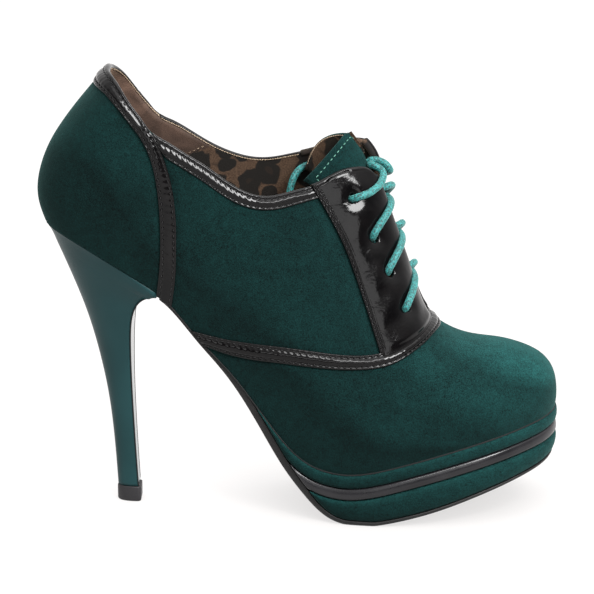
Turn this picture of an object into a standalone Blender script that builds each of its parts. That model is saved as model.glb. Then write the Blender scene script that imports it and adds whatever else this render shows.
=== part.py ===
"""A right-foot lace-up platform boot with a slim heel.

+X points to the toe, +Y to the inner (medial) side, +Z up. The shoe stands on z = 0.
Every size below is in millimetres and the meshes are written in metres.
"""
import math
from collections import namedtuple

import bmesh
import bpy
import numpy as np

MM = 0.001

# Driving sizes
WALL = 2.0            # upper's wall
CLEARANCE = 0.3       # between two pieces that meet
OVERLAY = 1.0         # glossy strips and lace facings
RAISED = 1.5          # strip along each facing's rear edge
COLLAR_STRIP = 6.3    # width of the collar's binding
TONGUE = 2.2
INSOLE = 1.6
RAND = 6.4            # upper tier of the platform
BAND = 5.6            # glossy band under it
THROAT = 15.0         # gap between the two lace facings
EYELET = 4.6
LACE = 4.0
HEEL_FRONT = -63.0    # where the heel seat ends and the outsole begins
TOP_PIECE = 7.2
CENTRE_Y = -0.2       # puts the widest places of the two sides at equal distance from y = 0

# The last: a row for each section, from the toe to the back of the collar.
# A section runs from its crest down to its keel, which lies below the sole. Widest is the share
# of that way at which it is widest, swing the middle's and ridge the crest's place across.
Section = namedtuple("Section", "name crest_x crest_z keel_x keel_z widest half_width swing ridge arch")
SECTIONS = [Section(*row) for row in (
    ("nose",        118.0,  51.5,  118.0,  51.5, 0.50,  0.0,  5.0, 5.0, 2.2),
    ("toe round",   116.6,  60.0,  116.6,  43.0, 0.50, 10.5,  5.0, 5.0, 2.2),
    ("toe end",     112.5,  66.3,  112.0,  34.5, 0.50, 19.5,  4.6, 4.8, 2.2),
    ("toe cap",     105.0,  71.0,  103.5,  26.5, 0.51, 27.5,  4.0, 4.5, 2.2),
    ("toe box",      91.5,  74.8,   88.0,  19.0, 0.52, 35.5,  2.5, 4.0, 2.2),
    ("tread",        75.5,  77.6,   67.5,  13.0, 0.53, 40.5,  1.0, 3.0, 2.15),
    ("ball",         61.5,  85.5,   44.0,   5.0, 0.57, 42.5,  0.0, 2.0, 2.1),
    ("joint",        54.0,  96.5,   18.0,   1.0, 0.60, 42.0, -1.0, 1.5, 2.0),
    ("low instep",   48.0, 115.0,   -6.0,   8.0, 0.60, 38.0, -2.0, 1.0, 1.95),
    ("instep",       42.0, 134.0,  -28.0,  30.0, 0.60, 33.0, -2.5, 0.5, 1.9),
    ("high instep",  35.5, 153.0,  -48.0,  52.0, 0.60, 30.0, -2.0, 0.0, 1.9),
    ("waist",        29.0, 167.0,  -70.0,  70.0, 0.62, 28.5, -1.2, 0.0, 1.9),
    ("breast",       24.0, 177.5,  -90.0,  88.0, 0.66, 28.5, -0.5, 0.0, 1.9),
    ("heel seat",    18.0, 186.0, -104.5, 107.0, 0.70, 29.0,  0.0, 0.0, 2.0),
    ("heel corner",  11.0, 194.0, -112.5, 126.5, 0.70, 29.2,  0.0, 0.0, 2.0),
    ("heel bulge",    3.0, 203.5, -118.0, 145.0, 0.69, 28.6,  0.0, 0.0, 2.0),
    ("back",         -5.0, 215.0, -113.5, 165.0, 0.66, 26.6,  0.0, 0.0, 2.0),
    ("back collar", -12.5, 228.0, -101.5, 183.5, 0.60, 24.0,  0.0, 0.0, 2.0),
    ("back top",    -20.0, 242.0,  -86.0, 201.5, 0.50, 21.5,  0.0, 0.0, 2.0),
)]
LAST_ROW = len(SECTIONS) - 1
THROAT_ROW = 6.35     # the row where the throat opens
TONGUE_ROW = 11.62    # the row of the tongue's top corners
TONGUE_CROWN = 0.13   # how many rows its middle stands above them
TONGUE_DEPTH = 6.3    # under the upper's outside, leaving room for the lace
FLARE = 5.5           # how far the inner facing's top stands off the last, towards the toe
TONGUE_FOOT = 5.7     # the row of its lower end, under the vamp

# The sole's side view: the feather line under the upper, the tread, and the outsole's thickness.
Sole = namedtuple("Sole", "x feather tread outsole")
SOLE = [Sole(*row) for row in (
    (-121.0, 133.5, 129.0, 1.2),
    (-110.0, 130.5, 126.0, 1.2),
    (-100.0, 126.2, 122.0, 1.2),
    (-84.0,  117.4, 113.0, 1.2),
    (-71.0,  109.3, 105.8, 1.2),
    (-61.0,  102.0,  99.6, 1.2),
    (-46.0,   83.8,  81.5, 1.1),
    (-36.0,   73.0,  69.6, 1.8),
    (-28.0,   63.8,  58.6, 2.8),
    (-16.0,   47.6,  38.2, 3.5),
    (-8.5,    37.8,  25.4, 3.7),
    (0.0,     29.6,  13.9, 3.4),
    (9.0,     25.3,   4.6, 2.7),
    (14.0,    24.3,   1.6, 2.4),
    (19.0,    23.9,   0.1, 2.2),
    (27.0,    24.6,  -0.5, 2.0),
    (41.0,    27.8,   1.5, 1.9),
    (63.0,    33.5,   7.0, 1.8),
    (82.0,    38.3,  13.2, 1.7),
    (101.0,   42.5,  18.9, 1.6),
    (121.0,   46.4,  24.6, 1.5),
)]

# The collar's edge in side view, for the outer and the inner side.
Collar = namedtuple("Collar", "x lateral medial")
COLLAR = [Collar(*row) for row in (
    (-86.0, 201.5, 201.5),
    (-81.0, 197.3, 196.2),
    (-75.0, 189.2, 187.8),
    (-69.7, 182.2, 181.0),
    (-64.6, 176.0, 175.6),
    (-59.0, 172.4, 172.7),
    (-50.0, 166.7, 167.7),
    (-41.0, 160.9, 162.4),
    (-32.0, 154.2, 158.5),
    (-22.0, 148.8, 156.2),
    (-13.0, 147.6, 156.5),
    (-4.0,  149.4, 158.6),
    (6.0,   151.9, 161.4),
    (13.0,  155.0, 163.8),
    (20.0,  157.4, 165.9),
    (26.0,  157.6, 166.8),
    (30.0,  156.4, 166.2),
    (32.0,  154.5, 164.8),
    (34.0,  152.0, 162.2),
    (36.5,  148.4, 156.8),
    (44.0,  138.0, 141.0),
)]

# Pattern lines in side view, the same on both sides.
Edge = namedtuple("Edge", "x z")
COUNTER_REAR = [Edge(*row) for row in (
    (-84.2, 191.3), (-79.1, 186.0), (-74.3, 180.0), (-70.2, 174.6), (-66.4, 167.4), (-63.2, 155.0),
    (-61.8, 140.0), (-61.6, 128.0), (-62.2, 115.5), (-63.6, 104.6))]
COUNTER_FRONT = [Edge(*row) for row in (
    (-64.6, 175.8), (-61.2, 169.0), (-57.8, 159.0), (-55.8, 149.0), (-54.8, 138.0),
    (-54.8, 124.5), (-55.4, 111.0), (-57.4, 98.6))]
VAMP_UPPER = [Edge(*row) for row in (
    (-48.4, 87.3), (-33.0, 84.0), (-21.0, 82.6), (-9.0, 81.6), (4.0, 80.2), (16.0, 78.8),
    (28.0, 78.4), (40.0, 80.2), (48.5, 83.3), (55.5, 86.8))]
VAMP_LOWER = [Edge(*row) for row in (
    (-42.4, 80.2), (-30.0, 76.6), (-20.0, 75.2), (-9.0, 74.4), (1.5, 73.4), (11.5, 72.6),
    (28.0, 72.4), (40.0, 74.2), (50.0, 78.4), (59.0, 83.0))]
VAMP_CREST_Z = (89.0, 83.9)
FACING_REAR = [Edge(*row) for row in (
    (-3.0, 165.0), (3.0, 154.5), (10.2, 142.0), (15.7, 132.0), (20.3, 122.0), (24.0, 112.0),
    (28.8, 98.0), (34.5, 80.5), (36.0, 76.0))]
FACING_FRONT = [Edge(*row) for row in (
    (0.0, 166.0), (5.6, 156.0), (14.0, 141.0), (20.4, 129.0), (24.7, 119.0), (28.8, 107.5),
    (33.0, 94.5), (37.5, 80.5), (39.0, 76.0))]
EYELETS = [Edge(*row) for row in ((22.6, 145.2), (31.9, 127.7), (38.6, 112.3), (46.4, 96.6))]
MEDIAL_EYELET_LIFT = (2.0, 1.0, -1.0, -2.0)

# The heel in side view, from the seat down to the top piece.
Heel = namedtuple("Heel", "back_x back_z breast_x breast_z half_width")
HEEL = [Heel(*row) for row in (
    (-113.4, 130.6, -63.0, 101.4, 25.0),
    (-110.4, 124.0, -68.6, 101.0, 23.0),
    (-105.4, 112.0, -73.2,  96.8, 19.2),
    (-100.8, 100.4, -75.8,  89.0, 15.8),
    (-95.6,   85.0, -76.7,  77.5, 12.4),
    (-90.7,   65.0, -76.8,  62.5,  9.2),
    (-87.4,   45.0, -76.4,  45.0,  7.2),
    (-85.6,   25.0, -75.6,  25.0,  6.0),
    (-84.6,    7.5, -74.7,   7.5,  5.4),
)]

for old in list(bpy.data.objects):
    bpy.data.objects.remove(old)


def spline(knots, values):
    """A natural cubic spline through the values, which may be rows of numbers."""
    x = np.asarray(knots, float)
    y = np.asarray(values, float)
    h = np.diff(x)
    n = len(x)
    matrix = np.eye(n)
    right = np.zeros_like(y)
    for i in range(1, n - 1):
        matrix[i, i - 1:i + 2] = h[i - 1], 2 * (h[i - 1] + h[i]), h[i]
        right[i] = 6 * ((y[i + 1] - y[i]) / h[i] - (y[i] - y[i - 1]) / h[i - 1])
    bend = np.linalg.solve(matrix, right)

    def at(t):
        i = min(max(int(np.searchsorted(x, t)) - 1, 0), n - 2)
        a = x[i + 1] - t
        b = t - x[i]
        cubic = (bend[i] * a ** 3 + bend[i + 1] * b ** 3) / (6 * h[i])
        return cubic + (y[i] / h[i] - bend[i] * h[i] / 6) * a + (y[i + 1] / h[i] - bend[i + 1] * h[i] / 6) * b
    return at


def bisect(test, low, high):
    """The place between low, where test is above zero, and high, where it isn't."""
    for _ in range(44):
        middle = (low + high) / 2
        if test(middle) > 0:
            low = middle
        else:
            high = middle
    return (low + high) / 2


section_at = spline(range(len(SECTIONS)), [row[1:] for row in SECTIONS])
feather_z = spline([row.x for row in SOLE], [row.feather for row in SOLE])
tread_line = spline([row.x for row in SOLE], [row.tread for row in SOLE])
outsole_thickness = spline([row.x for row in SOLE], [row.outsole for row in SOLE])
collar_z = {-1: spline([row.x for row in COLLAR], [row.lateral for row in COLLAR]),
            1: spline([row.x for row in COLLAR], [row.medial for row in COLLAR])}


def tread_z(x):
    return max(0.0, float(tread_line(x)))


def steepness(line, x):
    """How much longer a slanted piece's upright measure is than its thickness at x."""
    return math.hypot(1.0, (line(x + 0.5) - line(x - 0.5)))


def outsole_top(x):
    rise = float(outsole_thickness(x)) * steepness(tread_line, x)
    return min(tread_z(x) + rise, float(feather_z(x)) - CLEARANCE)


def surface(row, turn):
    """A point of the upper's outside: turn is 0 at the crest and pi at the keel or back seam."""
    crest_x, crest_z, keel_x, keel_z, widest, half, swing, ridge, arch = section_at(row)
    upper = math.cos(turn) > 0
    power = 2 / arch if upper else 2 / 2.1
    reach = abs(math.cos(turn)) ** power
    share = widest * (1 - reach) if upper else widest + (1 - widest) * reach
    side = 1 if math.sin(turn) >= 0 else -1
    y = ridge + (swing + side * half - ridge) * abs(math.sin(turn)) ** power
    flare = FLARE * math.exp(-((row - 10.8) / 0.95) ** 2 - ((turn - 0.35) / 0.45) ** 2)
    x = crest_x + share * (keel_x - crest_x) + flare
    return np.array((x, y - CENTRE_Y, crest_z + share * (keel_z - crest_z)))


def normal(row, turn, step=0.02):
    """The way out of the upper's outside."""
    if row < 1e-6:
        return np.array((1.0, 0.0, 0.0))
    at = min(max(row, 0.06), LAST_ROW - step)
    along = surface(at + step, turn) - surface(at - step, turn)
    across = surface(at, turn + step) - surface(at, turn - step)
    n = np.cross(across, along)
    return n / np.linalg.norm(n)


def bottom_turn(row):
    """The turn at which a section meets the feather line, or pi where it closes above it."""
    def above(turn):
        p = surface(row, turn)
        return p[2] - feather_z(p[0])
    return math.pi if above(math.pi) >= 0 else bisect(above, math.pi / 2, math.pi)


def collar_turn(row, side):
    """The turn at which a section meets the collar's edge, or 0 where it stays below it."""
    def above(turn):
        p = surface(row, side * turn)
        return p[2] - collar_z[side](p[0])
    if above(0.0) <= 0:
        return 0.0
    return math.pi if above(math.pi) > 0 else bisect(above, 0.0, math.pi)


def throat_turn(row, side):
    """The turn at which a section is half the throat's gap from its ridge."""
    _, _, _, _, _, half, swing, ridge, arch = section_at(row)
    width = abs(swing + side * half - ridge)
    return math.asin(min(1.0, THROAT / 2 / width) ** (arch / 2))


def locate(x, z, side):
    """The row and turn of a place given in side view."""
    def ahead(row):
        crest_x, crest_z, keel_x, keel_z = section_at(row)[:4]
        return (keel_x - crest_x) * (z - crest_z) - (keel_z - crest_z) * (x - crest_x)
    row = bisect(lambda r: -ahead(r), 3.0, LAST_ROW)
    crest_x, crest_z, keel_x, keel_z, widest = section_at(row)[:5]
    arch = section_at(row)[8]
    way = math.hypot(keel_x - crest_x, keel_z - crest_z)
    share = math.hypot(x - crest_x, z - crest_z) / way
    if share < widest:
        turn = math.acos((1 - share / widest) ** (arch / 2))
    else:
        turn = math.pi - math.acos(min(1.0, (share - widest) / (1 - widest)) ** (2.1 / 2))
    return row, side * turn


def crest_row(z):
    return bisect(lambda row: z - section_at(row)[1], 4.0, 11.0)


def lifted(row, turn, offset):
    return surface(row, turn) + normal(row, turn) * offset


def material(name, colour, roughness):
    m = bpy.data.materials.new(name)
    m.use_nodes = True
    shader = m.node_tree.nodes["Principled BSDF"]
    shader.inputs["Base Color"].default_value = (*colour, 1.0)
    shader.inputs["Roughness"].default_value = roughness
    return m


def piece(name, points, faces, colour, roughness):
    """One closed body from points in millimetres."""
    mesh = bpy.data.meshes.new(name)
    mesh.from_pydata([tuple(float(c) * MM for c in p) for p in points], [], faces)
    form = bmesh.new()
    form.from_mesh(mesh)
    bmesh.ops.remove_doubles(form, verts=form.verts, dist=1e-7)
    bmesh.ops.dissolve_degenerate(form, edges=form.edges, dist=1e-7)
    bmesh.ops.recalc_face_normals(form, faces=form.faces)
    form.to_mesh(mesh)
    form.free()
    ob = bpy.data.objects.new(name, mesh)
    bpy.context.scene.collection.objects.link(ob)
    mesh.materials.append(material(name, colour, roughness))
    return ob


def shell(name, grid, outer, inner, colour, roughness, skip=()):
    """A wall between two offsets of the upper's outside over a grid of rows and turns."""
    places = {}
    number = []
    for line in grid:
        marks = []
        for row, turn in line:
            key = tuple(np.round(surface(row, turn), 4))
            marks.append(places.setdefault(key, (len(places), row, turn))[0])
        number.append(marks)
    count = len(places)
    ordered = sorted(places.values())
    points = [lifted(row, turn, outer) for _, row, turn in ordered]
    points += [lifted(row, turn, inner) for _, row, turn in ordered]
    faces = []
    sides = {}
    for i in range(len(grid) - 1):
        for j in range(len(grid[i]) - 1):
            if (i, j) in skip:
                continue
            loop = [number[i][j], number[i][j + 1], number[i + 1][j + 1], number[i + 1][j]]
            loop = [v for k, v in enumerate(loop) if v != loop[k - 1]]
            if len(set(loop)) < 3:
                continue
            faces.append(loop)
            for k, v in enumerate(loop):
                edge = (v, loop[(k + 1) % len(loop)])
                if edge[::-1] in sides:
                    del sides[edge[::-1]]
                else:
                    sides[edge] = True
    back = [[v + count for v in reversed(loop)] for loop in faces]
    rims = [[b, a, a + count, b + count] for a, b in sides]
    return piece(name, points, faces + back + rims, colour, roughness)


SUEDE = (0.010, 0.062, 0.048)
PATENT = (0.006, 0.006, 0.007)
LINING = (0.120, 0.070, 0.035)
CORD = (0.045, 0.400, 0.310)
COVER = (0.022, 0.072, 0.068)
RUBBER = (0.012, 0.011, 0.012)

# Upper, with rows at the feather line's two ends and at the throat's base
toe_end = bisect(lambda row: bottom_turn(row) - math.pi + 1e-9, 0.2, 1.2)
heel_end = bisect(lambda row: math.pi - 1e-9 - bottom_turn(row), 13.2, 14.7)
rows = [0.0, 0.3, 0.6, 1.0, 1.5, 2.0, 2.5, 3.0, 3.6, 4.2, 4.8, 5.2, 5.55, 5.8, 6.05, 6.65, 7.0]
rows += list(np.arange(7.4, 13.3, 0.39)) + [13.5, 13.8, 14.4, 14.8, 15.3, 15.8, 16.3, 16.65, 16.95, 17.2, 17.5]
rows += [17.75, 17.92, LAST_ROW, toe_end, heel_end, THROAT_ROW]
rows = sorted(rows)
PER_SIDE = 8
ACROSS = 4
upper_grid = []
for row in rows:
    low = bottom_turn(row)
    edge = {}
    for side in (-1, 1):
        edge[side] = min(low, max(collar_turn(row, side), throat_turn(row, side) if row > 0.5 else 0.6))
        if row < THROAT_ROW and row > 0.01:
            blend = min(1.0, row / 3.0)
            edge[side] = blend * throat_turn(max(row, 2.0), side) + (1 - blend) * 0.7
    line = [(row, -low + (low - edge[-1]) * k / PER_SIDE) for k in range(PER_SIDE + 1)]
    line += [(row, -edge[-1] + (edge[-1] + edge[1]) * k / ACROSS) for k in range(1, ACROSS)]
    line += [(row, edge[1] + (low - edge[1]) * k / PER_SIDE) for k in range(PER_SIDE + 1)]
    upper_grid.append(line)
open_throat = {(i, PER_SIDE + k) for i, row in enumerate(rows) if row >= THROAT_ROW for k in range(ACROSS)}
upper = shell("upper", upper_grid, 0.0, -WALL, SUEDE, 0.9, open_throat)

# Tongue, on the same form inside the wall
tongue_grid = []
for share in np.linspace(0.0, 1.0, 13):
    spread = math.radians(24.0 + 23.0 * share)
    tongue_line = []
    for k in range(-4, 5):
        top = TONGUE_ROW + TONGUE_CROWN * (1 - (k / 4) ** 2)
        tongue_line.append((TONGUE_FOOT + (top - TONGUE_FOOT) * share, spread * k / 4))
    tongue_grid.append(tongue_line)
shell("tongue", tongue_grid, -TONGUE_DEPTH, -TONGUE_DEPTH - TONGUE, SUEDE, 0.9)


def line_on_last(edges, side):
    """A pattern line as a spline of rows and turns over its own points."""
    return [locate(edge.x, edge.z, side) for edge in edges]


def resample(marks, count):
    path = spline(range(len(marks)), marks)
    return [tuple(path((len(marks) - 1) * k / (count - 1))) for k in range(count)]


def strip(name, first, second, thickness, across=3):
    """A glossy strip between two pattern lines of equally many places."""
    grid = []
    for a, b in zip(first, second):
        grid.append([(a[0] + (b[0] - a[0]) * k / across, a[1] + (b[1] - a[1]) * k / across)
                     for k in range(across + 1)])
    return shell(name, grid, CLEARANCE + thickness, CLEARANCE, PATENT, 0.15)


# Counter binding: up the outer side, round the back of the collar and down the inner side
arms = {}
for side in (-1, 1):
    rear = resample(line_on_last(COUNTER_REAR, side), 17)
    front = resample(line_on_last(COUNTER_FRONT, side), 13)
    rim = []
    for row in (16.2, 16.6, 16.95, 17.2, 17.42, 17.6, 17.75, 17.87, 17.95):
        rim.append((row, side * collar_turn(row, side)))
    top_rear = [(17.27, side * math.radians(135.0)), (17.48, side * math.radians(150.0)),
                (17.61, side * math.radians(165.0))]
    arms[side] = ([*reversed(front), *rim], [*reversed(rear), *top_rear])
half_count = 29
outer_side = [resample(arms[-1][k], half_count) for k in (0, 1)]
inner_side = [resample(arms[1][k], half_count) for k in (0, 1)]
crown = [(17.97, math.pi), (17.65, math.pi)]
wrapped = []
for k in (0, 1):
    outer_half = [(row, 2 * math.pi + turn) for row, turn in outer_side[k]]
    wrapped.append(outer_half + [crown[k]] + inner_side[k][::-1])
strip("counter_binding", wrapped[0], wrapped[1], OVERLAY, 2)

# Collar bindings, from the counter to the facing
def facing_x(z):
    marks = FACING_REAR[::-1]
    return float(np.interp(z, [edge.z for edge in marks], [edge.x for edge in marks]))


for side, label in ((-1, "lateral"), (1, "medial")):
    end_x = bisect(lambda x: facing_x(float(collar_z[side](x))) - x, -20.0, 20.0) - 0.9
    top_line = []
    for k in range(19):
        x = -62.2 + (end_x + 62.2) * k / 18
        top_line.append(locate(x, float(collar_z[side](x)) - 0.1, side))
    marks = []
    for k in range(7):
        x = -53.4 + (end_x + 1.2 + 53.4) * k / 6
        slope = float(collar_z[side](x + 0.5) - collar_z[side](x - 0.5))
        drop = COLLAR_STRIP / math.hypot(1.0, slope)
        marks.append(locate(x + drop * slope, float(collar_z[side](x)) - drop, side))
    low_line = resample(marks, 19)
    strip("collar_binding_" + label, top_line, low_line, OVERLAY, 2)

# Vamp strip, from one side of the waist over the instep to the other
vamp = []
for edges, crest_z in ((VAMP_UPPER, VAMP_CREST_Z[0]), (VAMP_LOWER, VAMP_CREST_Z[1])):
    marks = line_on_last(edges, -1) + [(crest_row(crest_z), 0.0)]
    marks += [(row, -turn) for row, turn in reversed(marks[:-1])]
    vamp.append(resample(marks, 45))
strip("vamp_strip", vamp[0], vamp[1], OVERLAY, 2)


def turn_at(line, row):
    """The turn of a pattern line at a row."""
    marks = sorted(line)
    return float(np.interp(row, [m[0] for m in marks], [m[1] for m in marks]))


# Lace facings with their raised rear strips
for side, label in ((-1, "lateral"), (1, "medial")):
    rear = resample(line_on_last(FACING_REAR, 1), 25)
    front = resample(line_on_last(FACING_FRONT, 1), 25)
    vamp_edge = [(m[0], abs(m[1])) for m in vamp[0][:23]]

    def bounded(turn_of):
        """A column's rows between the vamp strip and the collar's edge."""
        def below_collar(row):
            p = surface(row, side * turn_of(row))
            return collar_z[side](p[0]) - p[2]

        def under_strip(row):
            limit = float(np.interp(turn_of(row), [t for _, t in reversed(vamp_edge)],
                                    [r for r, _ in reversed(vamp_edge)]))
            return limit + 0.03 - row
        low = bisect(under_strip, 5.5, 9.5)
        high = bisect(below_collar, 9.0, 12.5) - 0.01
        return [(low + (high - low) * k / 18) for k in range(19)]

    columns = []
    for k in range(6):
        def column_turn(row, share=k / 5):
            return (1 - share) * throat_turn(row, side) + share * (turn_at(front, row) - 0.012)
        columns.append([(row, side * column_turn(row)) for row in bounded(column_turn)])
    lines = list(map(list, zip(*columns)))
    facing = shell("eyestay_" + label, lines, CLEARANCE + OVERLAY, CLEARANCE, PATENT, 0.15)

    columns = []
    for k in range(3):
        def strip_turn(row, share=k / 2):
            return (1 - share) * turn_at(front, row) + share * turn_at(rear, row)
        columns.append([(row, side * strip_turn(row)) for row in bounded(strip_turn)])
    shell("facing_strip_" + label, list(map(list, zip(*columns))), CLEARANCE + RAISED, CLEARANCE, PATENT, 0.2)

    # Punched holes through the facing and the wall
    for k, (edge, lift) in enumerate(zip(EYELETS, MEDIAL_EYELET_LIFT)):
        rise = lift if side > 0 else 0.0
        row, turn = locate(edge.x - 0.4 * rise, edge.z + rise, side)
        n = normal(row, turn)
        middle = surface(row, turn)
        flat = np.cross(n, (0.0, 1.0, 0.0))
        flat /= np.linalg.norm(flat)
        up = np.cross(n, flat)
        ring = [EYELET / 2 * (math.cos(a) * flat + math.sin(a) * up)
                for a in np.linspace(0, 2 * math.pi, 10, endpoint=False)]
        points = [middle + n * depth + r for depth in (-WALL - 1.4, OVERLAY + 1.6) for r in ring]
        walls = [[i, (i + 1) % 10, 10 + (i + 1) % 10, 10 + i] for i in range(10)]
        caps = [list(range(9, -1, -1)), list(range(10, 20))]
        punch = piece("punch_%s_%d" % (label, k), points, walls + caps, RUBBER, 0.5)
        punch.hide_render = True
        punch.display_type = "WIRE"
        for target in (facing, upper):
            cut = target.modifiers.new("eyelet", "BOOLEAN")
            cut.operation = "DIFFERENCE"
            cut.solver = "EXACT"
            cut.object = punch


def tube(points, radius, sides=8):
    """Rings round a path, with flat ends."""
    rings = []
    for i, p in enumerate(points):
        ahead = points[min(i + 1, len(points) - 1)] - points[max(i - 1, 0)]
        ahead = ahead / np.linalg.norm(ahead)
        across = np.cross(ahead, (1.0, 0.0, 0.35))
        across /= np.linalg.norm(across)
        up = np.cross(ahead, across)
        rings += [p + radius * (math.cos(a) * across + math.sin(a) * up)
                  for a in np.linspace(0, 2 * math.pi, sides, endpoint=False)]
    faces = []
    for i in range(len(points) - 1):
        for k in range(sides):
            m = (k + 1) % sides
            faces.append([i * sides + k, i * sides + m, (i + 1) * sides + m, (i + 1) * sides + k])
    last = (len(points) - 1) * sides
    return rings, faces + [list(range(sides - 1, -1, -1)), list(range(last, last + sides))]


# Lace: crossed lengths lying over the facings, joined in one piece
LACE_HEIGHT = CLEARANCE + OVERLAY + CLEARANCE + LACE / 2 + 0.2
holes = {}
for side in (-1, 1):
    for k, (edge, lift) in enumerate(zip(EYELETS, MEDIAL_EYELET_LIFT)):
        rise = lift if side > 0 else 0.0
        holes[side, k] = locate(edge.x - 0.4 * rise, edge.z + rise, side)
lengths = []
for k in (3, 2, 1):
    for side in (-1, 1):
        lengths.append((holes[side, k], holes[-side, k - 1]))
lengths.append((holes[-1, 0], (10.75, math.radians(14.0))))
lace = None
for k, (start, end) in enumerate(lengths):
    path = []
    for i in range(7):
        t = i / 6
        row = start[0] + (end[0] - start[0]) * t
        turn = start[1] + (end[1] - start[1]) * t
        path.append(lifted(row, turn, LACE_HEIGHT))
    points, faces = tube(path, LACE / 2)
    length = piece("lace_crossings" if lace is None else "lace_length_%d" % k, points, faces, CORD, 0.5)
    if lace is None:
        lace = length
        continue
    length.hide_render = True
    length.display_type = "WIRE"
    add = lace.modifiers.new("crossing", "BOOLEAN")
    add.operation = "UNION"
    add.solver = "EXACT"
    add.object = length

# The sole's plan outline follows the feather line
feather_rows = np.linspace(toe_end, heel_end, 161)
outline = {-1: [], 1: []}
for row in feather_rows:
    low = bottom_turn(row)
    for side in (-1, 1):
        outline[side].append(surface(row, side * low)[:2])
loop = np.array(outline[-1] + outline[1][-2:0:-1])
step = np.roll(loop, -1, axis=0) - np.roll(loop, 1, axis=0)
outward = np.column_stack((step[:, 1], -step[:, 0]))
outward /= np.linalg.norm(outward, axis=1)[:, None]
if (outward[0] @ (1.0, 0.0)) < 0:
    outward = -outward


def plan(offset):
    """The outline moved outwards: its two sides as x and y, from the toe to the heel."""
    moved = loop + outward * offset
    count = len(outline[-1])
    return moved[:count], np.vstack((moved[:1], moved[:count - 2:-1]))


def ladder(rear, offset):
    """Places across the plan outline from the toe to a rear end, closer together at the toe."""
    lateral, medial = plan(offset)
    tip = lateral[0][0] - 1e-3
    round_x = 62.0
    stops = [round_x + (tip - round_x) * math.cos(math.pi / 2 * k / 11) for k in range(11)]
    straight = list(np.arange(round_x, -112.0, -6.0)) + tier_ends
    stops += sorted([x for x in straight if x > rear + 0.8] + [rear], reverse=True)
    places = []
    for x in stops:
        y = [float(np.interp(-x, -side[:, 0], side[:, 1])) for side in (lateral, medial)]
        places.append((x, *y))
    return places


def slab(name, rear, rings, colour, roughness):
    """A tier of the sole: each ring has an offset of the outline and its height as a function of x."""
    points = []
    numbers = []
    for offset, height in rings:
        lateral = []
        medial = []
        for k, (x, y_lateral, y_medial) in enumerate(ladder(rear, offset)):
            lateral.append(len(points))
            points.append((x, y_lateral, height(x)))
            if k:
                medial.append(len(points))
                points.append((x, y_medial, height(x)))
            else:
                points[-1] = (x, (y_lateral + y_medial) / 2, height(x))
                medial.append(lateral[0])
        numbers.append((lateral, medial))
    count = len(numbers[0][0]) - 1
    faces = []
    for (low_l, low_m), (high_l, high_m) in zip(numbers, numbers[1:]):
        for k in range(count):
            faces.append([low_l[k], low_l[k + 1], high_l[k + 1], high_l[k]])
            faces.append([low_m[k + 1], low_m[k], high_m[k], high_m[k + 1]])
        faces.append([low_l[-1], low_m[-1], high_m[-1], high_l[-1]])
    for lateral, medial in (numbers[0], numbers[-1]):
        for k in range(count):
            quad = [lateral[k], lateral[k + 1], medial[k + 1], medial[k]]
            faces.append(quad[:3] if k == 0 else quad)
    return piece(name, points, faces, colour, roughness)


def between(low, high, share):
    return lambda x: low(x) + (high(x) - low(x)) * share


def rear_end(low, high):
    """Where a tier that thins towards the waist is still thick enough to make."""
    return bisect(lambda x: high(x) - low(x) - 0.7, 20.0, -30.0)


def tier_floor(drop):
    return lambda x: max(float(feather_z(x)) - drop, outsole_top(x) + CLEARANCE)


def tier_roof(drop):
    return lambda x: float(feather_z(x)) - drop - CLEARANCE


tiers = (("platform_rand", tier_floor(RAND), tier_roof(0.0), (0.3, 0.9, 0.9, 0.1), SUEDE, 0.9),
         ("platform_band", tier_floor(RAND + BAND), tier_roof(RAND), (0.2, 0.5, 0.5, 0.2), PATENT, 0.2),
         ("platform_lower", tier_floor(99.0), tier_roof(RAND + BAND), (-0.9, 0.4, 0.9, 0.3), SUEDE, 0.9))
tier_ends = [rear_end(floor, roof) for _, floor, roof, _, _, _ in tiers]
for (name, floor, roof, offsets, colour, roughness), end in zip(tiers, tier_ends):
    rings = [(offset, between(floor, roof, share)) for offset, share in zip(offsets, (0.0, 0.25, 0.7, 1.0))]
    slab(name, end, rings, colour, roughness)
slab("outsole", HEEL_FRONT + CLEARANCE, [(-1.2, tread_z), (-0.7, outsole_top)], RUBBER, 0.4)


def insole_low(x):
    return float(feather_z(x)) + 0.3


def insole_high(x):
    return insole_low(x) + INSOLE * steepness(feather_z, x)


insole_inset = -WALL - 2.2
slab("insole", plan(insole_inset)[0][-1][0] + 5.2, [(insole_inset, insole_low), (insole_inset, insole_high)],
     LINING, 0.8)

# Heel: the seat's curved outline lofted down through flat-fronted sections
heel_at = spline(range(len(HEEL)), HEEL)
seat_lateral, seat_medial = plan(-0.3)
PROFILE = 9
points = []
rings = []
for level in np.linspace(0, len(HEEL) - 1, 17):
    row = Heel(*heel_at(level))
    ring = []
    seat = max(0.0, 1.0 - level)
    for k in range(2 * PROFILE + 1):
        side = -1 if k <= PROFILE else 1
        t = math.sin(math.pi / 2 * (1 - abs(k - PROFILE) / PROFILE))
        x = row.breast_x + (row.back_x - row.breast_x) * t
        z = row.breast_z + (row.back_z - row.breast_z) * t
        y = side * row.half_width * math.sqrt(max(0.0, 1 - t ** 2.2))
        if seat > 0:
            lateral_line, medial_line = seat_lateral, seat_medial
            edge = lateral_line if side < 0 else medial_line
            y_seat = float(np.interp(-x, -edge[:, 0], edge[:, 1])) if t < 1 else 0.0
            z_seat = float(feather_z(x)) - CLEARANCE
            y = seat * y_seat + (1 - seat) * y
            z = seat * z_seat + (1 - seat) * z
        ring.append(len(points))
        points.append((x, y, z))
    rings.append(ring)
faces = []
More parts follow.
